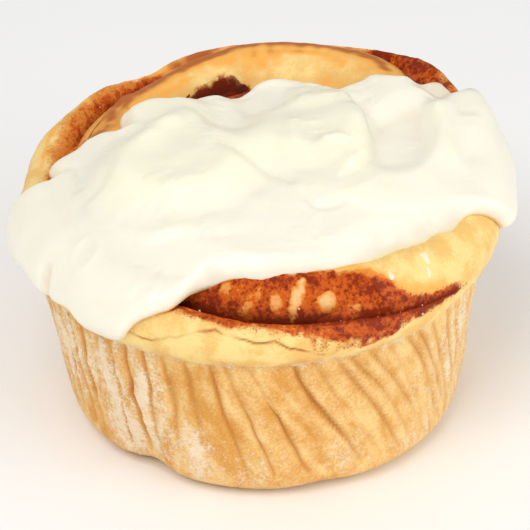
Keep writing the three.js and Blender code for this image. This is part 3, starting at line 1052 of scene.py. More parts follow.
@dataclass(frozen=True)
class Pleats:
    """Pleats of the side; lean and strength go by direction in degrees."""

    count: int = 68
    depth: float = 0.7
    width: float = 0.5
    slip: float = 0.2
    slip_seed: float = 7.1
    shares: Knots = ((0.0, 0.5), (0.33, 0.9), (0.68, 1.0), (0.94, 0.9), (1.0, 0.4))
    lean: Knots = (
        (-180, 0), (-116, 0), (-102, 11), (-80, 26), (-62, 28), (-30, 15), (0, 4), (40, 0), (180, 0),
    )
    strength: Knots = ((-180, 1), (-80, 1), (-55, 0.72), (-25, 0.5), (15, 0.6), (55, 1), (180, 1))
    apart: float = 9.7
    wander: Ripples = (Ripple(0.42, 11.0, 21), Ripple(0.16, 4.0, 23))
    mean_depth: float = 0.75
    depth_spread: float = 0.35
    depth_seed: float = 0.3
    run_mean: float = 0.9
    run_ripples: Ripples = (Ripple(0.7, 9.0, 22),)
    run_limits: Span = (0.2, 1.3)
    shade_width: float = 1.1
    sharp_shade: float = 0.7
    soft_shade: float = 0.35
    sharp_fall: float = 0.6
    crown_fall: float = 0.45
    streak_squeeze: float = 0.16
    streak_ripples: Ripples = (Ripple(0.9, 1.3, 61), Ripple(0.7, 0.65, 62))
    streak_paler: float = 1.5
    streak_limits: Span = (-1.0, 1.5)


@dataclass(frozen=True)
class Flouring:
    """Flour on the side: patches streaked along the ridges, and a thin line of crumbs under the lip."""

    patches: tuple[FlourPatch, ...] = (
        FlourPatch(-152, 20, 20, 15, 0.8), FlourPatch(-128, 15, 18, 17, 0.95), FlourPatch(-110, 11, 9, 10, 0.62),
        FlourPatch(-92, 10, 7, 7, 0.36), FlourPatch(-66, 7, 9, 6, 0.55), FlourPatch(-40, 14, 6, 5, 0.45),
        FlourPatch(-20, 30, 20, 24, 0.56), FlourPatch(165, 24, 14, 13, 0.75), FlourPatch(95, 20, 11, 10, 0.65),
        FlourPatch(25, 16, 17, 10, 0.55),
    )
    least: float = 0.2
    lost_in_pleats: float = 0.9
    streak_squeeze: Triple = (1.0, 1.0, 0.22)
    streak_ripples: Ripples = (Ripple(0.6, 1.9, 7),)
    seam_lift: float = 0.2
    seam_half: float = 0.55
    seam_amount: float = 0.55
    seam_mean: float = 0.6
    seam_ripples: Ripples = (Ripple(0.5, 2.2, 9),)
    crust: float = 0.35
    crust_mean: float = 0.4
    crust_ripples: Ripples = (Ripple(1.0, 1.6, 6),)


@dataclass(frozen=True)
class Baking:
    """Browning of the crust: the ring inside the groove, the outer strip and the tongue at the tail.

    The ring goes by the distance inward from the groove, the strip by degrees along the coil.
    """

    ring: Knots = (
        (0, 0.72), (3, 0.82), (5, 0.98), (5.9, 0.86), (7, 0.58), (8.4, 0.4), (10.5, 0.18), (13.2, 0.16),
    )
    ring_edge: Span = (-0.3, 0.8)
    ring_loss: float = 0.55
    ring_loss_at: Span = (266.0, 286.0)
    ring_streaks: float = 0.3
    strip: Knots = ((0, 0.2), (200, 0.3), (225, 0.6), (258, 0.75), (275, 0.5), (360, 0.3))
    strip_streaks: float = 0.16
    streak_turn: float = 3.5
    long_streaks: Ripples = (Ripple(0.7, 0.9, 8),)
    short_streaks: Ripples = (Ripple(0.7, 1.5, 18),)
    back: Span = (-6.0, 16.0)
    lip: float = 0.34
    tongue: float = 0.42
    tongue_half: float = 1.8
    tongue_start: Span = (0.0, 0.2)
    tongue_end: Span = (1.0, 1.3)
    blotches: Ripples = (Ripple(0.1, 6.0, 8),)


@dataclass(frozen=True)
class Crack:
    """Crack along the lip: its path by direction in degrees and height, its half width and its depth."""

    path: tuple[tuple[float, float], ...] = (
        (-126.1, 37.2), (-120.5, 36.4), (-116.0, 36.4), (-110.4, 38.4), (-104.6, 39.8), (-101.0, 40.2),
        (-96.4, 39.4), (-91.6, 38.6), (-87.0, 38.8), (-83.6, 37.2), (-78.9, 36.2), (-75.5, 35.0),
    )
    half: float = 0.21
    depth: float = 0.55
    rows: Span = (0.0, 2.0)
    ragged: Ripples = (Ripple(0.3, 1.6, 63),)
    mean: float = 0.7
    ripples: Ripples = (Ripple(0.8, 3.0, 66),)
    limits: Span = (0.12, 1.0)


@dataclass
class DoughRoll(Assembly):
    """The coiled dough: base, pleated side, swollen lip and coiled top in one closed mesh."""

    shape: RollShape
    pleats: Pleats = Pleats()
    flouring: Flouring = Flouring()
    baking: Baking = Baking()
    crack: Crack = Crack()
    columns: int = 880
    front_density: float = 0.25
    base_rings: tuple[float, ...] = (4.0, 12.0, 20.0, 26.0, 29.0)
    base_hollow: float = 0.5
    hollow_edge: Span = (22.0, 29.0)
    corner_rings: int = 6
    wall_rings: int = 28
    lip_rings: int = 20
    lip_profile: Knots = ((0.0, 0.0), (0.2, 0.34), (0.55, 0.82), (1.0, 1.0))
    lip_notch: float = 0.3
    notch_below: float = 1.2
    notch_above: float = 0.12
    lip_heights: Span = (-0.9, 2.2)
    lip_ripples: Ripples = (Ripple(1.1, 4.0, 33), Ripple(0.8, 1.3, 34))
    lip_smoothness: float = 0.4
    shoulder_rings: int = 22
    shoulder_share: float = 0.075
    outer_top: Triple = (0.917, 0.868, 0.0082)
    inner_top: Triple = (0.86, 0.55, 0.0175)
    core_ring_shares: tuple[float, ...] = (0.5, 0.42, 0.32, 0.2, 0.08)
    top_rows: Span = (-6.0, 8.0)
    stain_rows: Span = (5.0, 12.0)
    still_base: Span = (0.5, 5.0)
    rough_ripples: Ripples = (Ripple(0.1, 1.4, 5),)
    crest_start: Span = (95.0, 120.0)
    crest_ripples: Ripples = (Ripple(0.7, 8.0, 64), Ripple(0.3, 3.0, 65))
    dents: tuple[Dent, ...] = (Dent(-125, 8, 1.7), Dent(-72, 8, 0.6))
    dent_heights: Span = (4.0, 15.0)
    dent_radii: Span = (20.0, 31.0)
    dent_lift: float = 0.4
    dent_lift_heights: Span = (2.0, 8.0)
    points: Numbers = field(init=False, repr=False)
    masks: Masks = field(init=False, repr=False)

    def build(self, effects: SharedEffects) -> list[Piece]:
        """Make the dough and dress it."""
        rings, pleat_valley_and_shade = self._rings()
        self.points, self.masks = self._weather(rings, pleat_valley_and_shade)
        piece = ring_object("dough_roll", [self.points], self.masks)
        piece.data.materials.append(DoughFinish().material(effects))
        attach(piece, "root")
        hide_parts("dough")
        return [piece]

    def _rings(self) -> tuple[Numbers, Numbers]:
        """Smooth form of the dough with its pleats.

        Returns:
            The rings from the middle of the base to the middle of the top, and how much each point lies in a pleat.
        """
        shape = self.shape
        even = FULL_TURN * np.arange(self.columns) / self.columns
        theta = even - self.front_density * np.cos(even)
        flat = np.zeros_like(theta)
        rows: list[Numbers] = []
        pleat_valley_and_shade_rows: list[Numbers] = []
        for radius in self.base_rings:
            rise = self.base_hollow * fading(radius, *self.hollow_edge)
            rows.append(plan(theta, radius, flat + rise, shape.base_offset))
        wall_lean = math.atan2(shape.cup_radius - shape.base_radius - shape.base_corner,
                               shape.cup_height - shape.base_corner)
        corner_end = math.pi / 2.0 - wall_lean
        for angle in np.linspace(0.0, corner_end, self.corner_rings):
            radius = shape.base_radius + shape.base_corner * math.sin(angle)
            height = shape.base_corner * (1.0 - math.cos(angle))
            rows.append(plan(theta, radius, flat + height, shape.side_offset(flat + height)))
        pleat_valley_and_shade_rows.extend([flat] * len(rows))
        start_radius = shape.base_radius + shape.base_corner * math.sin(corner_end)
        start_height = shape.base_corner * (1.0 - math.cos(corner_end))
        for rise in np.linspace(0.0, 1.0, self.wall_rings + 1)[1:]:
            height = blend(start_height, shape.cup_height, rise)
            valley_and_shade, fall = self._pleat(theta, height)
            share = float(through_knots(self.pleats.shares, np.array(rise)))
            radius = blend(start_radius, shape.cup_radius, rise) - fall * share
            radius = radius - self.lip_notch * smoothstep(height - shape.cup_height, -self.notch_below, 0.0)
            rows.append(plan(theta, radius, flat + height, shape.side_offset(flat + height)))
            pleat_valley_and_shade_rows.append(valley_and_shade * share)
        for rise in np.linspace(0.0, 1.0, self.lip_rings + 1)[1:]:
            out = float(through_knots(self.lip_profile, np.array(rise)))
            radius = blend(shape.cup_radius, shape.rim_radius(theta), out)
            radius = radius - self.lip_notch * fading(rise, 0.0, self.notch_above)
            height = blend(shape.cup_height, shape.rim_height(theta), rise)
            middle = shape.side_offset(flat + blend(shape.cup_height, shape.rim_level, rise))
            rows.append(plan(theta, radius, height, middle))
            pleat_valley_and_shade_rows.append(flat)
        shoulder = 1.0 - self.shoulder_share * (np.arange(1, self.shoulder_rings + 1) / self.shoulder_rings) ** 2
        outer = np.arange(self.outer_top[0], self.outer_top[1], -self.outer_top[2])
        inner = np.arange(self.inner_top[0], self.inner_top[1], -self.inner_top[2])
        for share in (*shoulder, *outer, *inner, *self.core_ring_shares):
            radius = shape.rim_radius(theta) * share
            rows.append(plan(theta, radius, shape.top_height(radius, theta)))
            pleat_valley_and_shade_rows.append(flat)
        return np.array(rows), np.array(pleat_valley_and_shade_rows)

    def _pleat(self, theta: Numbers, height: float) -> tuple[Numbers, Numbers]:
        """Pleats of the side at one height.

        Args:
            theta: Directions in radians.
            height: Height above the base.

        Returns:
            How much each column lies in a valley, and how far the side falls in there.
        """
        pleats, shape = self.pleats, self.shape
        number = np.arange(pleats.count)
        column = 2 * number + 1
        half = FULL_TURN / (2 * pleats.count)
        valleys = column * half + pleats.slip * half * uneven(column + pleats.slip_seed)
        bearing = np.degrees(np.mod(valleys + math.pi, FULL_TURN) - math.pi)
        drop = 1.0 - height / shape.cup_height
        trace = np.stack([number * pleats.apart, np.full(pleats.count, height), number * 0.0], axis=-1)
        lean = np.radians(through_knots(pleats.lean, bearing))
        valleys = np.mod(valleys + lean * drop + half * rippled(trace, pleats.wander), FULL_TURN)
        depth = pleats.depth * (pleats.mean_depth + pleats.depth_spread * uneven(number + pleats.depth_seed))
        depth = depth * through_knots(pleats.strength, bearing)
        depth = depth * np.clip(pleats.run_mean + rippled(trace, pleats.run_ripples), *pleats.run_limits)
        order = np.argsort(valleys)
        places = valleys[order]
        depth = depth[order]
        around = np.mod(theta, FULL_TURN)
        after = np.searchsorted(places, around) % pleats.count
        before = (after - 1) % pleats.count
        ahead = np.mod(places[after] - around, FULL_TURN) * shape.cup_radius
        behind = np.mod(around - places[before], FULL_TURN) * shape.cup_radius
        sharp = np.maximum(bell(ahead, pleats.width) * depth[after], bell(behind, pleats.width) * depth[before])
        share = behind / np.maximum(ahead + behind, LEAST_LENGTH)
        crown = (1.0 - np.sin(math.pi * share)) ** 2 * blend(depth[before], depth[after], share)
        shade = np.exp(-ahead / pleats.shade_width) * depth[after]
        # A sharp line in the valley and a soft band on one side of it: painted shade for the pleat colour.
        valley_and_shade = (pleats.sharp_shade * sharp + pleats.soft_shade * shade) / pleats.depth
        return np.clip(valley_and_shade, 0.0, 1.0), pleats.sharp_fall * sharp + pleats.crown_fall * crown

    def _flour(self, points: Numbers, pleat_valley_and_shade: Numbers, lip: Numbers) -> Numbers:
        """Amount of flour on the side.

        Args:
            points: Places in millimetres.
            pleat_valley_and_shade: How much each point lies in a pleat's valley, with the painted shade beside it.
            lip: Share of the lip at each point.

        Returns:
            The amount from 0 to 1, streaked along the ridges, with a thin line of crumbs under the lip.
        """
        flouring = self.flouring
        bearing = np.degrees(polar(points)[1])
        amount = np.full(points.shape[:-1], flouring.least)
        for patch in flouring.patches:
            aside = degrees_aside(bearing, patch.direction)
            far = (aside / patch.width) ** 2 + ((points[..., 2] - patch.height) / patch.tall) ** 2
            amount = np.maximum(amount, patch.amount * np.exp(-far))
        streaks = rippled(points * np.array(flouring.streak_squeeze), flouring.streak_ripples)
        amount = amount * (1.0 - flouring.lost_in_pleats * pleat_valley_and_shade) * (1.0 + streaks) * (1.0 - lip)
        seam = bell(points[..., 2] - self.shape.cup_height - flouring.seam_lift, flouring.seam_half)
        crumbs = flouring.seam_amount * seam * (flouring.seam_mean + rippled(points, flouring.seam_ripples))
        return np.clip(amount + crumbs, 0.0, 1.0)

    def _streaks(self, points: Numbers) -> Numbers:
        """Fine streaks along the pleats, higher where they are paler."""
        pleats = self.pleats
        theta = polar(points)[1]
        drop = np.clip(1.0 - points[..., 2] / self.shape.cup_height, 0.0, 1.0)
        lean = np.radians(through_knots(pleats.lean, np.degrees(theta)))
        around = (theta - lean * drop) * self.shape.cup_radius
        flat = np.stack([around, points[..., 2] * pleats.streak_squeeze, 0.0 * around], axis=-1)
        paler = pleats.streak_paler * (1.0 - through_knots(pleats.strength, np.degrees(theta)))
        return np.clip(rippled(flat, pleats.streak_ripples) + paler, *pleats.streak_limits)

    def _crack_distance(self, points: Numbers) -> Numbers:
        """Distance of each point from the crack, measured round the lip and up it."""
        theta = polar(points)[1]
        height = points[..., 2] + rippled(points, self.crack.ragged)
        place = np.stack([theta * self.shape.rim_middle, height], axis=-1)
        path = tuple((math.radians(bearing) * self.shape.rim_middle, height) for bearing, height in self.crack.path)
        return path_distance(place, path)

    def _brown(self, points: Numbers, on_top: Numbers) -> Numbers:
        """How brown the crust is baked.

        Args:
            points: Places in millimetres.
            on_top: Share of the coiled top at each point.

        Returns:
            The browning from 0 to 1.
        """
        shape, baking = self.shape, self.baking
        radius, theta = polar(points)
        turn = shape.turn_from_tail(theta)
        degrees = np.degrees(turn)
        within = shape.rim_radius(theta) - shape.groove_inset(turn) - radius
        inside = smoothstep(within, *baking.ring_edge)
        back = smoothstep(points[..., 1], *baking.back)
        ring_place = np.stack([turn * baking.streak_turn, within, 0.0 * turn], axis=-1)
        streaks = rippled(ring_place, baking.long_streaks) + rippled(points, baking.short_streaks)
        ring = through_knots(baking.ring, within) * inside
        ring = ring * (1.0 - baking.ring_loss * smoothstep(degrees, *baking.ring_loss_at))
        strip = through_knots(baking.strip, degrees) + baking.strip_streaks * streaks
        top = ring + baking.ring_streaks * streaks + strip * (1.0 - inside)
        face = within + shape.climb(points, turn) - through_knots(shape.stain_inward, degrees)
        tongue = bell(face, baking.tongue_half)
        tongue = tongue * smoothstep(turn, *baking.tongue_start) * fading(turn, *baking.tongue_end)
        brown = back * blend(baking.lip, top, on_top) + baking.tongue * tongue * on_top * (1.0 - back)
        return np.clip(brown + rippled(points, baking.blotches), 0.0, 1.0)

    def _dent(self, rings: Numbers, bearing: Numbers) -> Numbers:
        """Shift of each point in the dents, inward and up off the floor.

        Args:
            rings: Points of the smooth form.
            bearing: Their directions in degrees.

        Returns:
            The shift in millimetres.
        """
        height = rings[..., 2]
        depth = np.zeros_like(height)
        for dent in self.dents:
            depth = depth + dent.depth * bell(bearing - dent.direction, dent.width)
        depth = depth * fading(height, *self.dent_heights) * smoothstep(polar(rings)[0], *self.dent_radii)
        lift = self.dent_lift * depth * fading(height, *self.dent_lift_heights)
        return plan(np.radians(bearing), -depth, lift)

    def _weather(self, rings: Numbers, pleat_valley_and_shade: Numbers) -> tuple[Numbers, Masks]:
        """Give the smooth form its unevenness, its crack and its masks.

        Args:
            rings: Points of the smooth form.
            pleat_valley_and_shade: How much each point lies in a pleat's valley, with the painted shade beside it.

        Returns:
            The final points and the masks by name.
        """
        shape, crack = self.shape, self.crack
        height = rings[..., 2]
        bearing = np.degrees(polar(rings)[1])
        rows = np.arange(len(rings))[:, None]
        lip_row = len(self.base_rings) + self.corner_rings + self.wall_rings
        top_row = lip_row + self.lip_rings
        on_top = smoothstep(rows - top_row, *self.top_rows) + np.zeros_like(height)
        ragged = rippled(rings, self.lip_ripples)
        lip = smoothstep(height + ragged - shape.cup_height, *self.lip_heights)
        flour = self._flour(rings, pleat_valley_and_shade, lip)
        opened = bell(self._crack_distance(rings), crack.half)
        opened = opened * smoothstep(rows - lip_row, *crack.rows) * (rows < top_row + self.shoulder_rings)
        opened = opened * np.clip(crack.mean + rippled(rings, crack.ripples), *crack.limits)
        rough = rippled(rings, self.rough_ripples) * (1.0 - self.lip_smoothness * lip)
        crusty = self.flouring.crust * flour * (1.0 - lip)
        crusty = crusty * (self.flouring.crust_mean + rippled(rings, self.flouring.crust_ripples))
        crest = smoothstep(bearing, *self.crest_start) * rippled(rings, self.crest_ripples)
        push = shape.swell(rings) + rough + crusty + crest * on_top
        push = push * smoothstep(height, *self.still_base) - crack.depth * opened
        final = rings + grid_normals(rings) * push[..., None] + self._dent(rings, bearing)
        final[..., 2] -= shape.crevice(rings) * on_top
        masks = {
            # Painted shade in and beside the pleats' valleys.
            "pleat_valley_and_shade": pleat_valley_and_shade,
            # Where the crack opens: it is cut into the lip and takes painted shade as its colour.
            "flour": flour,
            "lip": lip,
            "crack": opened,
            "stain": shape.stain(rings) * smoothstep(rows - lip_row, *self.stain_rows),
            "deep": shape.deep(rings),
            "brown": self._brown(rings, on_top),
            "streak": self._streaks(rings),
        }
        return final, masks


def path_distance(points: Numbers, path: tuple[tuple[float, ...], ...]) -> Numbers:
    """Distance of each point from a path of straight stretches.

    Args:
        points: Places in millimetres, with two or three numbers each.
        path: Corners of the path.

    Returns:
        The shortest distance for each place.
    """
    nearest = np.full(points.shape[:-1], np.inf)
    corners = np.array(path)
    for start, end in zip(corners[:-1], corners[1:]):
        along = end - start
        share = np.clip(((points - start) @ along) / (along @ along), 0.0, 1.0)
        nearest = np.minimum(nearest, np.linalg.norm(points - start - share[..., None] * along, axis=-1))
    return nearest


@dataclass(frozen=True)
class Oval:
    """Oval place seen from above: its middle, its half sizes and its turn in degrees."""

    x: float
    y: float
    across: float
    along: float
    turn: float

    def share(self, points: Numbers) -> Numbers:
        """Distance of each point from the middle, as a share of the half size in its direction."""
        turn = math.radians(self.turn)
        x = points[..., 0] - self.x
        y = points[..., 1] - self.y
        across = (x * math.cos(turn) + y * math.sin(turn)) / self.across
        along = (y * math.cos(turn) - x * math.sin(turn)) / self.along
        return np.hypot(across, along)


@dataclass(frozen=True)
class PaleSpot(Oval):
    """Spot where dough shows through the cinnamon, and how strongly."""

    strength: float


@dataclass
class CinnamonFilling(Assembly):
    """The cinnamon layer: a sheet between the turns of dough with a crust over the groove."""

    shape: RollShape
    sheet_half: float = 0.5
    sheet_foot: float = 0.3
    sealed_tail: float = 36.5
    sealed_tail_end: float = math.radians(64.0)
    covered_from: float = math.radians(203.0)
    covered_to: float = math.radians(266.0)
    covered_top: float = 40.0
    covered_inset: float = 5.5
    fine_step: float = 0.55
    plain_step: float = 3.0
    fine_turns: tuple[tuple[float, float], ...] = ((24.0, 205.0), (264.0, 330.0), (550.0, 620.0))
    start_fade: Span = (-0.02, 0.12)
    rim_margin: float = 1.5
    least_room: float = 0.8
    least_width: float = 0.4
    crust_points: int = 45
    crust_lift: float = 0.16
    bare_sink: float = 0.5
    edge_ripples: Ripples = (Ripple(0.12, 1.8, 41),)
    edge_cover: Span = (0.02, 0.2)
    stain_cover: Span = (0.15, 0.45)
    grain_ripples: Ripples = (Ripple(0.1, 0.7, 42), Ripple(0.12, 2.2, 43))
    under_drops: Triple = (0.7, 1.3, 1.3)
    # Painted shade in the crevice: its spread, ranges, start, strength and the share on hidden points.
    crevice_shade_spread: float = 1.6
    crevice_shade_range: Span = (0.0, 1.0)
    crevice_shade_stain: Span = (0.05, 0.4)
    crevice_shade_start: Span = (26.0, 42.0)
    crevice_shade_strength: float = 0.92
    hidden_crevice_shade: float = 0.3
    spot_lift: float = 0.25
    spot_fade: Span = (0.4, 1.25)
    spot_ripples: Ripples = (Ripple(0.28, 0.9, 44), Ripple(0.15, 0.45, 45))
    pale_spots: tuple[PaleSpot, ...] = (
        PaleSpot(6.1, -36.6, 1.0, 2.3, -32, 1.0), PaleSpot(11.3, -36.7, 1.9, 0.85, 15, 0.95),
        PaleSpot(16.2, -36.3, 1.2, 0.55, 22, 0.65), PaleSpot(-6.1, -34.7, 1.6, 0.7, -8, 0.5),
        PaleSpot(-2.7, -37.2, 1.4, 0.5, -4, 0.5), PaleSpot(2.4, -37.3, 1.4, 0.9, 0, 0.6),
    )

    def build(self, effects: SharedEffects) -> list[Piece]:
        """Make the filling and dress it."""
        rings, masks = self._rings()
        piece = ring_object("cinnamon_filling", [rings], masks)
        piece.data.materials.append(FillingFinish().material(effects))
        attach(piece, "root")
        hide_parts("filling")
        return [piece]

    def _turns(self) -> Numbers:
        """Turns of the cross-sections in degrees, close together where the filling shows."""
        turns = [math.degrees(self.shape.coil_start)]
        end = math.degrees(self.shape.coil_end)
        while turns[-1] < end - TINY:
            fine = any(start <= turns[-1] < stop for start, stop in self.fine_turns)
            turns.append(min(turns[-1] + (self.fine_step if fine else self.plain_step), end))
        return np.array(turns)

    def _rings(self) -> tuple[Numbers, Masks]:
        """Cross-sections along the coil and the masks that colour them.

        Returns:
            The rings from the tail to the inner end, and the masks by name.
        """
        shape = self.shape
        turn = np.radians(self._turns())[:, None]
        theta = shape.tail_angle - turn
        covered = (turn > self.covered_from) & (turn < self.covered_to)
        inset = np.where(covered, self.covered_inset, shape.groove_inset(turn))
        rim = shape.rim_radius(theta)
        groove = rim - inset
        opened = smoothstep(turn, shape.coil_start, self.sealed_tail_end)
        foot = blend(self.sealed_tail, self.sheet_foot, opened)
        foot_inset = blend(inset, np.maximum(inset, self.covered_inset), opened)
        foot_radius = (rim - foot_inset) * blend(shape.coil_taper, 1.0, foot / shape.rim_level)
        started = smoothstep(turn - shape.coil_start, *self.start_fade)
        room = np.maximum(shape.groove_inset(turn) - self.rim_margin, self.least_room)
        half = self.sheet_half
        outward = half + np.clip(shape.smear_width(turn, GrooveSide.OUTWARD) * started, self.least_width, room)
        inward = half + np.maximum(shape.smear_width(turn, GrooveSide.INWARD) * started, self.least_width)
        across = np.linspace(1.0, -1.0, self.crust_points)[None, :]
        shift = np.where(across > 0.0, across * outward, across * inward)
        crust = self._on_top(theta, groove + shift, covered)
        spots = self._bare(crust)
        stain = shape.stain(crust)
        edge = 1.0 - np.abs(across) + rippled(crust, self.edge_ripples)
        cover = smoothstep(edge, *self.edge_cover) * smoothstep(stain, *self.stain_cover)
        proud = self.crust_lift + rippled(crust, self.grain_ripples) + self.spot_lift * spots
        lift = blend(-self.bare_sink, proud, cover) + shape.swell(crust) - shape.crevice(crust)
        crust[..., 2] += np.where(covered, 0.0, lift)
        side_shifts = ((-inward, -(half + inward) / 2.0, -half + 0.0 * turn),
                       (half + 0.0 * turn, (half + outward) / 2.0, outward))
        inner_under, outer_under = [
            [self._on_top(theta, groove + middle, covered, drop) for middle, drop in zip(shifts, drops)]
            for shifts, drops in zip(side_shifts, (self.under_drops, self.under_drops[::-1]))
        ]
        foot_points = [plan(theta, foot_radius + side, foot, shape.side_offset(foot)) for side in (-half, half)]
        rings = np.concatenate([crust, *inner_under, *foot_points, *outer_under], axis=1)
        hidden = rings.shape[1] - self.crust_points
        masks = {
            "stain": self._padded(stain, hidden, 1.0),
            "deep": self._padded(shape.deep(crust), hidden, 1.0),
            "bare": self._padded(spots, hidden, 0.0),
            # Painted shade along the crevice, with a little on the hidden points.
            "crevice": self._padded(self._crevice_shade(turn, shift, stain), hidden, self.hidden_crevice_shade),
        }
        return rings, masks

    def _crevice_shade(self, turn: Numbers, shift: Numbers, stain: Numbers) -> Numbers:
        """How much painted shade lies in the crevice, from 0 to 1, by turn, distance from the groove and share of
        cinnamon.
        """
        degrees = np.degrees(turn)
        depth = through_knots(self.shape.crevice_depth, degrees)
        half = self.crevice_shade_spread * through_knots(self.shape.crevice_half, degrees)
        # Painted shade along the groove, where the crevice is deep and cinnamon lies.
        dark = bell(shift, half) * smoothstep(depth, *self.crevice_shade_range) * smoothstep(stain, *self.crevice_shade_stain)
        return self.crevice_shade_strength * dark * smoothstep(degrees, *self.crevice_shade_start)

    def _on_top(self, theta: Numbers, radius: Numbers, covered: Numbers, drop: float = 0.0) -> Numbers:
        """Points a drop below the coil's top, or inside the dough where the coil is covered.

        Args:
            theta: Directions in radians.
            radius: Distances from the middle.
            covered: Where the dough closes over the filling.
            drop: Depth below the top.

        Returns:
            The points.
        """
        surface = np.where(covered, self.covered_top, self.shape.top_height(radius, theta))
        return plan(theta, radius, surface - drop)

    def _bare(self, crust: Numbers) -> Numbers:
        """How bare of cinnamon each point of the crust is, from 0 to 1."""
        bare = np.zeros(crust.shape[:-1])
        ragged = rippled(crust, self.spot_ripples)
        for spot in self.pale_spots:
            bare = np.maximum(bare, spot.strength * fading(spot.share(crust) + ragged, *self.spot_fade))
        return bare

    def _padded(self, values: Numbers, hidden: int, fill: float) -> Numbers:
        """Values of the crust with one fill value for the hidden points of each section."""
        return np.pad(values, ((0, 0), (0, hidden)), constant_values=fill)


class StrokeKind(Enum):
    """How a stroke of the spatula shapes the icing."""

    RIDGE = "ridge"
    STEP = "step"


@dataclass(frozen=True)
class Stroke:
    """Mark in the icing along a path: a ridge or crease, or the edge of a layer that lies on another.

    A step is high on the left of its path and fades out over its reach.
    """

    path: tuple[tuple[float, float], ...]
    rise: float
    width: float
    kind: StrokeKind = StrokeKind.RIDGE
    reach: float = 0.0


@dataclass(frozen=True)
class Mound(Oval):
    """Soft mound of icing, or a hollow where its rise is negative."""

    rise: float


@dataclass(frozen=True)
class Bubble(Oval):
    """Mark of a burst bubble: a raised rim round a dip, with half widths as shares of the oval."""

    rim: float
    rim_half: float
    dip: float
    dip_half: float


@dataclass(frozen=True)
class Lobe:
    """Part of the icing's edge that reaches further: direction and span in degrees, and reach."""

    at: float
    span: float
    reach: float


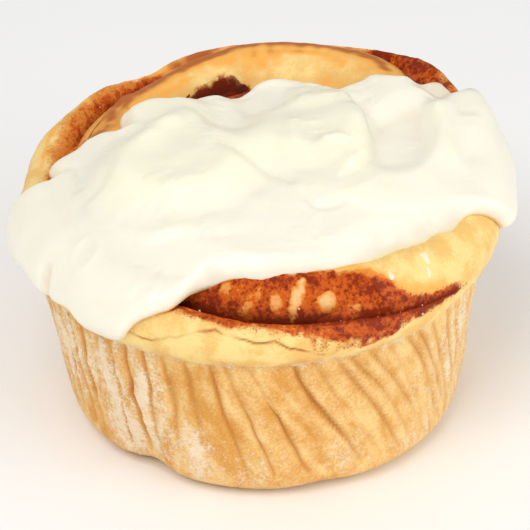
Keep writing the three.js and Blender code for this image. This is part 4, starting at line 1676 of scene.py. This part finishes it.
@dataclass
class Icing(Assembly):
    """The blanket of icing with its lobes, dollop, curl and layered edges."""

    shape: RollShape
    columns: int = 720
    rings: int = 112
    last_ring: float = 0.985
    ring_crowding: float = 1.25
    plain_reach: float = 28.5
    front_reach: float = 6.0
    lobe_power: int = 3
    wavy_radius: float = 40.0
    edge_ripples: Ripples = (Ripple(0.3, 5.0, 51),)
    top_thickness: float = 3.8
    skirt_thickness: float = 2.6
    skirt_start: Span = (20.0, 42.0)
    least_thickness: float = 0.8
    edge_width: float = 3.0
    bed_sink: float = 0.5
    bed_bend: float = 6.0
    cling: float = 0.14
    settle: float = 5.0
    settle_end: Span = (-2.0, 1.0)
    edge_drop: float = 1.0
    edge_bury: float = 0.25
    root: float = 1.0
    root_start: float = 0.1
    root_edge: float = 0.1
    root_shares: tuple[float, ...] = (0.1, 0.4, 0.65, 0.82, 0.92, 0.97, 0.99)
    thin_front: Span = (-44.0, 21.0)
    thin_power: int = 4
    thin_widening: float = 1.6
    feather_range: Span = (-0.1, 1.0)
    mound_fade: Span = (0.55, 1.1)
    stroke_steps: int = 10
    stroke_taper: float = 0.22
    step_flat: float = 1.0
    soft_ripples: Ripples = (Ripple(0.26, 7.0, 52), Ripple(0.1, 3.0, 53))
    torn_noise: tuple[float, int] = (9.0, 54)
    torn_range: Span = (0.0, 0.45)
    torn_ripples: Ripples = (Ripple(0.1, 1.5, 55), Ripple(0.06, 0.8, 56))
    lobes: tuple[Lobe, ...] = (
        Lobe(-127.5, 7.5, 9.6), Lobe(-114.5, 6, 5.5), Lobe(-155.4, 34, 18), Lobe(-167, 7, 3.5),
        Lobe(-177, 5, -4), Lobe(171, 6.5, 2.4), Lobe(157, 6, -2.2), Lobe(146, 12, 5.5),
        Lobe(134, 5, -1.1), Lobe(103, 9, -2), Lobe(100, 30, 1.5), Lobe(75.6, 20, 4.4),
        Lobe(45, 8, 8.5), Lobe(29, 9, 18), Lobe(14, 12, 16.6), Lobe(-4.3, 12.2, 12.9),
        Lobe(-19.5, 34, 7.8), Lobe(-42, 12, -1.6),
    )
    mounds: tuple[Mound, ...] = (
        Mound(-15, -7, 17, 15, 25, 3.2), Mound(8, 4, 13, 13, 0, 2.6), Mound(12, -5, 25, 15, 0, 1.2),
        Mound(35, 9, 6, 16, -18, 1.0), Mound(-37, -12, 10, 14, 0, 0.3), Mound(25, 3, 7, 13, -10, -2.0),
        Mound(-18, 11, 10, 9, 0, 1.7), Mound(11, 17, 8, 8, 0, 1.0), Mound(0, 18, 6, 8, 0, -0.9),
        Mound(33.5, 22.5, 7, 4.5, 36, -2.0),
    )
    strokes: tuple[Stroke, ...] = (
        Stroke(((12.8, -13.5), (15.2, -10.8), (17.8, -7.5), (19.4, -4), (19.6, 1), (18.2, 8), (15.5, 15), (11, 20),
                (5, 22)), 2.0, 0.9, StrokeKind.STEP, 11.0),
        Stroke(((9.9, -4.2), (12.1, -3.3), (14, -3.2), (15.4, -4.6)), 0.7, 1.2),
        Stroke(((6, 6), (5.4, 2), (5.6, -1), (6.4, -5)), 0.5, 1.4),
        Stroke(((-13, 8), (-8.4, -1.4), (-2.2, -7.4), (4, -11.4), (6.1, -15)), -0.9, 1.7),
        Stroke(((-24, -6), (-19, 3), (-14, 9), (-10, 2), (-8, -6)), 1.0, 2.2),
        Stroke(((-20, -17), (-11, -16.6), (-4, -17.2), (5, -20)), 0.5, 3.0),
        Stroke(((-27.4, 9), (-26, -5), (-27.6, -12), (-31, -15), (-27.5, -21.5), (-21, -26), (-16, -26.4),
                (-5.5, -26), (1.3, -24.6)), 0.9, 1.4, StrokeKind.STEP, 9.0),
        Stroke(((6.1, -15), (8.1, -18), (10, -19.6), (12.8, -19), (15.4, -17.4)), -0.6, 0.9),
        Stroke(((13.7, -15.7), (16.3, -18), (19.8, -19.4), (24.2, -18), (29, -17)), 0.6, 0.9, StrokeKind.STEP, 6.0),
        Stroke(((31, 20), (32, 13), (32.4, 8), (33.4, 1), (34.8, -3), (37, -8)), 0.9, 2.2),
        Stroke(((43, 31), (39, 26.5), (36, 22.5), (33, 17), (30, 11)), -2.2, 2.0),
        Stroke(((36, 22), (36.5, 15), (38, 9)), -0.8, 1.6),
        Stroke(((-33.8, 1), (-33.4, -3), (-33, -7), (-32.1, -10.4)), -0.7, 1.1),
        Stroke(((-36, -23), (-39, -26.5), (-43, -30)), -1.5, 1.1),
    )
    bubble: Bubble = Bubble(-30.2, -25.0, 1.8, 3.2, 0.0, rim=0.18, rim_half=0.3, dip=0.1, dip_half=0.7)

    def build(self, effects: SharedEffects) -> list[Piece]:
        """Make the icing and dress it."""
        rings, masks = self._rings()
        piece = ring_object("icing_blanket", [rings], masks)
        piece.data.materials.append(IcingFinish().material(effects))
        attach(piece, "root")
        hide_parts("icing")
        return [piece]

    def reach(self, theta: Numbers) -> Numbers:
        """Reach of the icing from the middle, along the surface it lies on."""
        bearing = np.degrees(theta)
        reach = self.plain_reach - self.front_reach * np.sin(theta)
        for lobe in self.lobes:
            reach = reach + lobe.reach * bell(degrees_aside(bearing, lobe.at), lobe.span, self.lobe_power)
        around = plan(theta, self.wavy_radius, np.zeros_like(theta))
        return reach + rippled(around, self.edge_ripples)

    def _bed(self, radius: Numbers, theta: Numbers) -> Numbers:
        """Height of the surface the icing lies on, which runs from crown to crown."""
        shape = self.shape
        turn = shape.turn_from_tail(theta)
        within = shape.rim_radius(theta) - shape.groove_inset(turn) - radius
        strips = np.maximum(within / shape.coil_pitch + 0.5, 0.0)
        whole = np.floor(strips)
        outer = shape.crown_height(turn + whole * FULL_TURN)
        inner = shape.crown_height(turn + (whole + 1.0) * FULL_TURN)
        return blend(outer, inner, strips - whole) - self.bed_sink

    def _point(self, theta: Numbers, distance: Numbers, lift: Numbers) -> Numbers:
        """Points at a distance along the bed, lifted square to it.

        Args:
            theta: Directions in radians.
            distance: Distances from the middle along the bed.
            lift: Heights above the bed.

        Returns:
            The points, which settle onto the dough near the icing's edge and cling to its side below the rim.
        """
        shoulder = self.shape.rim_radius(theta) - self.bed_bend
        reach = self.reach(theta)
        flat = np.minimum(distance, shoulder)
        bed = self._bed(flat, theta)
        settled = fading(reach - distance, 0.0, self.settle) * fading(reach - shoulder, *self.settle_end)
        ground = np.maximum(self.shape.top_height(flat, theta) - self.edge_bury, bed - self.edge_drop)
        bed = blend(bed, np.minimum(bed, ground), settled)
        bend = np.clip((distance - shoulder) / self.bed_bend, 0.0, math.pi / 2.0)
        drop = np.maximum(distance - shoulder - self.bed_bend * math.pi / 2.0, 0.0)
        radius = flat + (self.bed_bend + lift) * np.sin(bend) - self.cling * drop * drop
        height = bed - self.bed_bend + (self.bed_bend + lift) * np.cos(bend) - drop
        return plan(theta, radius, height)

    def _stroke(self, place: Numbers, stroke: Stroke) -> Numbers:
        """Height that one stroke adds at each place.

        Args:
            place: Places seen from above, as x and y.
            stroke: The stroke.

        Returns:
            The height in millimetres.
        """
        corners = np.array(stroke.path, dtype=float)
        steps = np.arange(len(corners), dtype=float)
        fine = np.linspace(0.0, len(corners) - 1.0, self.stroke_steps * len(corners))
        line = np.stack([through_knots(tuple(zip(steps, corners[:, axis])), fine) for axis in (0, 1)], axis=-1)
        ahead = np.gradient(line, axis=0)
        flat = place.reshape(-1, 2)
        apart = flat[:, None, :] - line[None, :, :]
        nearest = np.argmin(np.einsum("ijk,ijk->ij", apart, apart), axis=1)
        gap = apart[np.arange(len(flat)), nearest]
        tangent = ahead[nearest]
        distance = np.linalg.norm(gap, axis=1)
        share = nearest / (len(fine) - 1.0)
        ends = smoothstep(share, 0.0, self.stroke_taper) * smoothstep(1.0 - share, 0.0, self.stroke_taper)
        if stroke.kind is StrokeKind.RIDGE:
            profile = bell(distance, stroke.width)
        else:
            left = distance * np.sign(tangent[:, 0] * gap[:, 1] - tangent[:, 1] * gap[:, 0])
            profile = smoothstep(left, -stroke.width, stroke.width) * fading(left, self.step_flat, stroke.reach)
        return (stroke.rise * profile * ends).reshape(place.shape[:-1])

    def _thickness(self, theta: Numbers, distance: Numbers) -> Numbers:
        """Thickness of the icing at each place.

        Args:
            theta: Directions in radians.
            distance: Distances from the middle along the bed.

        Returns:
            The thickness in millimetres.
        """
        ground = plan(theta, distance, 0.0 * distance)
        thick = blend(self.top_thickness, self.skirt_thickness, smoothstep(distance, *self.skirt_start))
        for mound in self.mounds:
            thick = thick + mound.rise * fading(mound.share(ground), *self.mound_fade)
        for stroke in self.strokes:
            thick = thick + self._stroke(ground[..., :2], stroke)
        across = self.bubble.share(ground)
        thick = thick + self.bubble.rim * bell(across - 1.0, self.bubble.rim_half)
        thick = thick - self.bubble.dip * bell(across, self.bubble.dip_half)
        torn = smoothstep(smooth_noise(ground, *self.torn_noise), *self.torn_range)
        thick = thick + rippled(ground, self.soft_ripples) + torn * rippled(ground, self.torn_ripples)
        thick = np.maximum(thick, self.least_thickness)
        thin_at, thin_span = self.thin_front
        feather = bell(degrees_aside(np.degrees(theta), thin_at), thin_span, self.thin_power)
        width = self.edge_width * (1.0 + self.thin_widening * feather)
        edge = np.clip((self.reach(theta) - distance) / width, 0.0, 1.0)
        rounded = np.sqrt(np.maximum(1.0 - (1.0 - edge) ** 2, 0.0))
        feathered = smoothstep(edge, *self.feather_range)
        return thick * blend(rounded, feathered, feather)

    def _rings(self) -> tuple[Numbers, Masks]:
        """Points of the icing and the masks that colour it.

        Returns:
            The rings from the middle underneath, round the edge, to the middle on top, and the masks by name.
        """
        theta = (FULL_TURN * np.arange(self.columns) / self.columns)[None, :]
        reach = self.reach(theta)
        under_shares = np.array(self.root_shares)[:, None]
        sunk = -self.root * smoothstep(1.0 - under_shares, 0.0, self.root_start) - self.root_edge
        under = self._point(theta, reach * under_shares, sunk + 0.0 * theta)
        spacing = np.linspace(0.0, self.last_ring, self.rings)[:, None]
        distance = reach * (1.0 - spacing ** self.ring_crowding)
        thick = self._thickness(theta + 0.0 * distance, distance)
        over = self._point(theta, distance, thick)
        masks = {"thickness": np.concatenate([np.ones(under.shape[:-1]), thick])}
        return np.concatenate([under, over]), masks


@dataclass(frozen=True)
class Drop:
    """Small drop of icing on the dough: place, half sizes and rise."""

    x: float
    y: float
    across: float
    along: float
    rise: float


@dataclass
class IcingDrops(Assembly):
    """Drops of icing that fell on the bare dough beside the blanket."""

    shape: RollShape
    columns: int = 28
    rings: int = 9
    drops: tuple[Drop, ...] = (
        Drop(28.5, -26.1, 1.15, 1.0, 0.12),
        Drop(29.2, -27.9, 0.6, 0.65, 0.12),
        Drop(22.4, -31.0, 0.65, 0.6, 0.14),
    )
    under_share: float = 0.3
    top_share: float = 0.08
    waviness: float = 0.16
    slope_step: float = 0.1
    sunk: float = 0.2
    thickness: float = 0.5

    def build(self, effects: SharedEffects) -> list[Piece]:
        """Make the drops and dress them."""
        stacks = [self._drop(drop) for drop in self.drops]
        thickness = np.full(sum(stack.shape[0] * stack.shape[1] for stack in stacks), self.thickness)
        piece = ring_object("icing_drops", stacks, {"thickness": thickness})
        piece.data.materials.append(IcingFinish("dropped icing", softness=0.0).material(effects))
        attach(piece, "root")
        return [piece]

    def _drop(self, drop: Drop) -> Numbers:
        """Rings of one drop, from its sunk underside to its top."""
        angle = (FULL_TURN * np.arange(self.columns) / self.columns)[None, :]
        share = np.concatenate([[self.under_share], np.linspace(1.0, self.top_share, self.rings)])[:, None]
        outline = 1.0 + self.waviness * (np.sin(2.0 * angle + drop.x) + np.sin(3.0 * angle + 2.0 * drop.y))
        x = drop.x + drop.across * share * outline * np.cos(angle)
        y = drop.y + drop.along * share * outline * np.sin(angle)
        place = np.stack([x, y, self._ground(x, y)], axis=-1)
        step = self.slope_step
        slope_x = (self._ground(x + step, y) - self._ground(x - step, y)) / (2.0 * step)
        slope_y = (self._ground(x, y + step) - self._ground(x, y - step)) / (2.0 * step)
        upright = np.stack([-slope_x, -slope_y, np.ones_like(x)], axis=-1)
        upright = upright / np.linalg.norm(upright, axis=-1, keepdims=True)
        push = self.shape.swell(place) - self.sunk
        push[1:] += (self.sunk + drop.rise) * np.sqrt(1.0 - share[1:] ** 2)
        return place + upright * push[..., None]

    def _ground(self, x: Numbers, y: Numbers) -> Numbers:
        """Height of the roll's top at a place."""
        return self.shape.top_height(np.hypot(x, y), np.arctan2(y, x))


class GrainForm(Enum):
    """Form of a loose grain."""

    CRYSTAL = "crystal"
    CLUMP = "clump"


class GrainPlace(Enum):
    """Where loose grains lie on the dough."""

    CREVICE = "crevice"
    SMEAR_BORDER = "border of the smear"
    SIDE = "side"


@dataclass
class LooseGrains(Assembly):
    """Loose grains of one kind, joined in one mesh and scattered over the dough they lie on."""

    dough: DoughRoll
    icing: Icing
    name: str
    finish: GrainFinish
    form: GrainForm
    place: GrainPlace
    count: int
    sizes: tuple[float, float]
    lift: float
    seed: int
    stretch: Span = (0.7, 1.2)
    jitter: Span = (0.85, 1.15)
    stand: float = 0.2
    crystal_side: float = 1.6
    crystal_bevel: float = 0.22
    off_icing: float = 0.4
    off_floor: float = 1.5
    least_weight: float = 1e-9
    crevice_shift: float = 0.3
    crevice_half: float = 1.3
    crevice_end: float = math.radians(200.0)

    def build(self, effects: SharedEffects) -> list[Piece]:
        """Make the grains and dress them."""
        draw = np.random.default_rng(self.seed)
        weight = self._weight().ravel()
        chosen = draw.choice(len(weight), self.count, replace=False, p=weight / weight.sum())
        centres = self.dough.points.reshape(-1, 3)[chosen]
        normals = grid_normals(self.dough.points).reshape(-1, 3)[chosen]
        corners, sides = self._template()
        size = draw.uniform(*self.sizes, self.count)
        stretch = draw.uniform(*self.stretch, (self.count, 1, 3))
        spin = np.linalg.qr(draw.normal(size=(self.count, 3, 3)))[0]
        jitter = draw.uniform(*self.jitter, (self.count, len(corners), 1))
        body = (corners[None] * stretch * jitter) @ spin * size[:, None, None] / 2.0
        body = body + (centres + normals * (self.lift + self.stand * size[:, None]))[:, None, :]
        faces = [[corner + k * len(corners) for corner in side] for k in range(self.count) for side in sides]
        mesh = bpy.data.meshes.new(self.name)
        mesh.from_pydata((body.reshape(-1, 3) * METRES).tolist(), [], faces)
        piece = finished_object(self.name, mesh, self.form is GrainForm.CLUMP)
        piece.data.materials.append(self.finish.material(effects))
        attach(piece, "root")
        return [piece]

    def _template(self) -> tuple[Numbers, list[list[int]]]:
        """Corners and sides of one grain of about unit half size."""
        work = bmesh.new()
        if self.form is GrainForm.CRYSTAL:
            bmesh.ops.create_cube(work, size=self.crystal_side)
            bmesh.ops.bevel(work, geom=work.edges, offset=self.crystal_bevel, segments=1, affect="EDGES")
        else:
            bmesh.ops.create_icosphere(work, subdivisions=1, radius=1.0)
        work.verts.index_update()
        corners = np.array([vert.co[:] for vert in work.verts])
        sides = [[vert.index for vert in face.verts] for face in work.faces]
        work.free()
        return corners, sides

    def _weight(self) -> Numbers:
        """Likelihood of a grain at each point of the dough, none under the icing."""
        points = self.dough.points
        masks = self.dough.masks
        if self.place is GrainPlace.SIDE:
            return masks["flour"] ** 2 * (points[..., 2] > self.off_floor)
        shape = self.dough.shape
        radius, theta = polar(points)
        open_top = (radius > self.icing.reach(theta) + self.off_icing) * (points[..., 2] > shape.cup_height)
        if self.place is GrainPlace.SMEAR_BORDER:
            return open_top * (masks["stain"] * (1.0 - masks["stain"])) + self.least_weight * open_top
        turn, shift = shape.nearest_groove(radius, theta)
        near = bell(shift - self.crevice_shift, self.crevice_half) * (turn < self.crevice_end)
        return open_top * near * masks["stain"]


@dataclass(frozen=True)
class Lamp:
    """Soft square lamp: its place and side in metres, its power in watts."""

    name: str
    place: Triple
    side: float
    power: float


@dataclass
class Studio:
    """Pale floor, soft light and the camera at the photo's angle, with sizes in metres."""

    floor_size: float = 6.0
    sky_colour: Colour = (1.0, 1.0, 1.0, 1.0)
    sky_strength: float = 0.6
    lamps: tuple[Lamp, ...] = (
        Lamp("key", (-0.28, -0.5, 0.8), 0.5, 3.6),
        Lamp("fill", (0.6, -0.4, 0.3), 0.6, 2.1),
    )
    aim: Triple = (0.00056, 0.00081, 0.02625)
    elevation: float = math.radians(33.0)
    distance: float = 0.5
    lens: float = 182.4
    near_clip: float = 0.01

    def build(self, effects: SharedEffects) -> None:
        """Set the floor, the light and the camera."""
        bpy.context.scene.view_settings.view_transform = "Standard"
        self._floor(effects)
        self._sky()
        for lamp in self.lamps:
            self._light(lamp)
        self._camera()

    def _floor(self, effects: SharedEffects) -> None:
        """Large pale floor."""
        half = self.floor_size / 2.0
        mesh = bpy.data.meshes.new("floor")
        corners = [(-half, -half, 0.0), (half, -half, 0.0), (half, half, 0.0), (-half, half, 0.0)]
        mesh.from_pydata(corners, [], [(0, 1, 2, 3)])
        mesh.materials.append(FloorFinish().material(effects))
        floor = bpy.data.objects.new("floor", mesh)
        bpy.context.scene.collection.objects.link(floor)

    def _sky(self) -> None:
        """Even white light from all round."""
        world = bpy.data.worlds.new("studio")
        world.use_nodes = True
        wiring = Wiring(world.node_tree)
        background = wiring.add("ShaderNodeBackground")
        wiring.dress(background, Color=self.sky_colour, Strength=self.sky_strength)
        wiring.dress(wiring.add("ShaderNodeOutputWorld"), Surface=background.outputs["Background"])
        bpy.context.scene.world = world

    def _light(self, lamp: Lamp) -> None:
        """Set one lamp so that it faces the roll."""
        data = bpy.data.lights.new(lamp.name, "AREA")
        data.energy = lamp.power
        data.size = lamp.side
        place = Vector(lamp.place)
        self._placed(lamp.name, data, place, Vector(self.aim) - place)

    def _camera(self) -> None:
        """Camera in front of the roll, looking down at it."""
        back = Vector((0.0, -math.cos(self.elevation), math.sin(self.elevation)))
        data = bpy.data.cameras.new("camera")
        data.lens = self.lens
        data.clip_start = self.near_clip
        bpy.context.scene.camera = self._placed("camera", data, Vector(self.aim) + back * self.distance, -back)

    def _placed(self, name: str, data: bpy.types.ID, place: Vector, ahead: Vector) -> Piece:
        """New object of a lamp or camera at a place, looking ahead."""
        made = bpy.data.objects.new(name, data)
        made.location = place
        made.rotation_mode = "QUATERNION"
        made.rotation_quaternion = ahead.to_track_quat("-Z", "Y")
        bpy.context.scene.collection.objects.link(made)
        return made


def main() -> None:
    """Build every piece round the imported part, then the studio."""
    logging.basicConfig(level=logging.INFO, format="%(message)s")
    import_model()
    shape = RollShape()
    effects = SharedEffects().build()
    dough = DoughRoll(shape)
    icing = Icing(shape)
    sugar = GrainFinish("sugar", srgb(250, 226, 184), srgb(226, 176, 120), (0.15, 0.4))
    ground_cinnamon = GrainFinish("ground cinnamon", srgb(196, 106, 46), srgb(150, 70, 26), (0.6, 0.9))
    flour = GrainFinish("flour", srgb(244, 224, 188), srgb(232, 200, 148), (0.8, 1.0))
    assemblies: tuple[Assembly, ...] = (
        dough,
        CinnamonFilling(shape),
        icing,
        IcingDrops(shape),
        LooseGrains(
            dough, icing, "sugar_crystals", sugar, GrainForm.CRYSTAL, GrainPlace.CREVICE,
            count=26, sizes=(0.14, 0.44), lift=0.15, seed=5,
        ),
        LooseGrains(
            dough, icing, "cinnamon_specks", ground_cinnamon, GrainForm.CLUMP, GrainPlace.SMEAR_BORDER,
            count=420, sizes=(0.08, 0.2), lift=0.0, seed=6,
        ),
        LooseGrains(
            dough, icing, "flour_grains", flour, GrainForm.CLUMP, GrainPlace.SIDE,
            count=1300, sizes=(0.12, 0.32), lift=0.0, seed=7,
        ),
    )
    for assembly in assemblies:
        for piece in assembly.build(effects):
            LOG.info("%s: %d faces", piece.name, len(piece.data.polygons))
    Studio().build(effects)


if __name__ == "__main__":
    main()
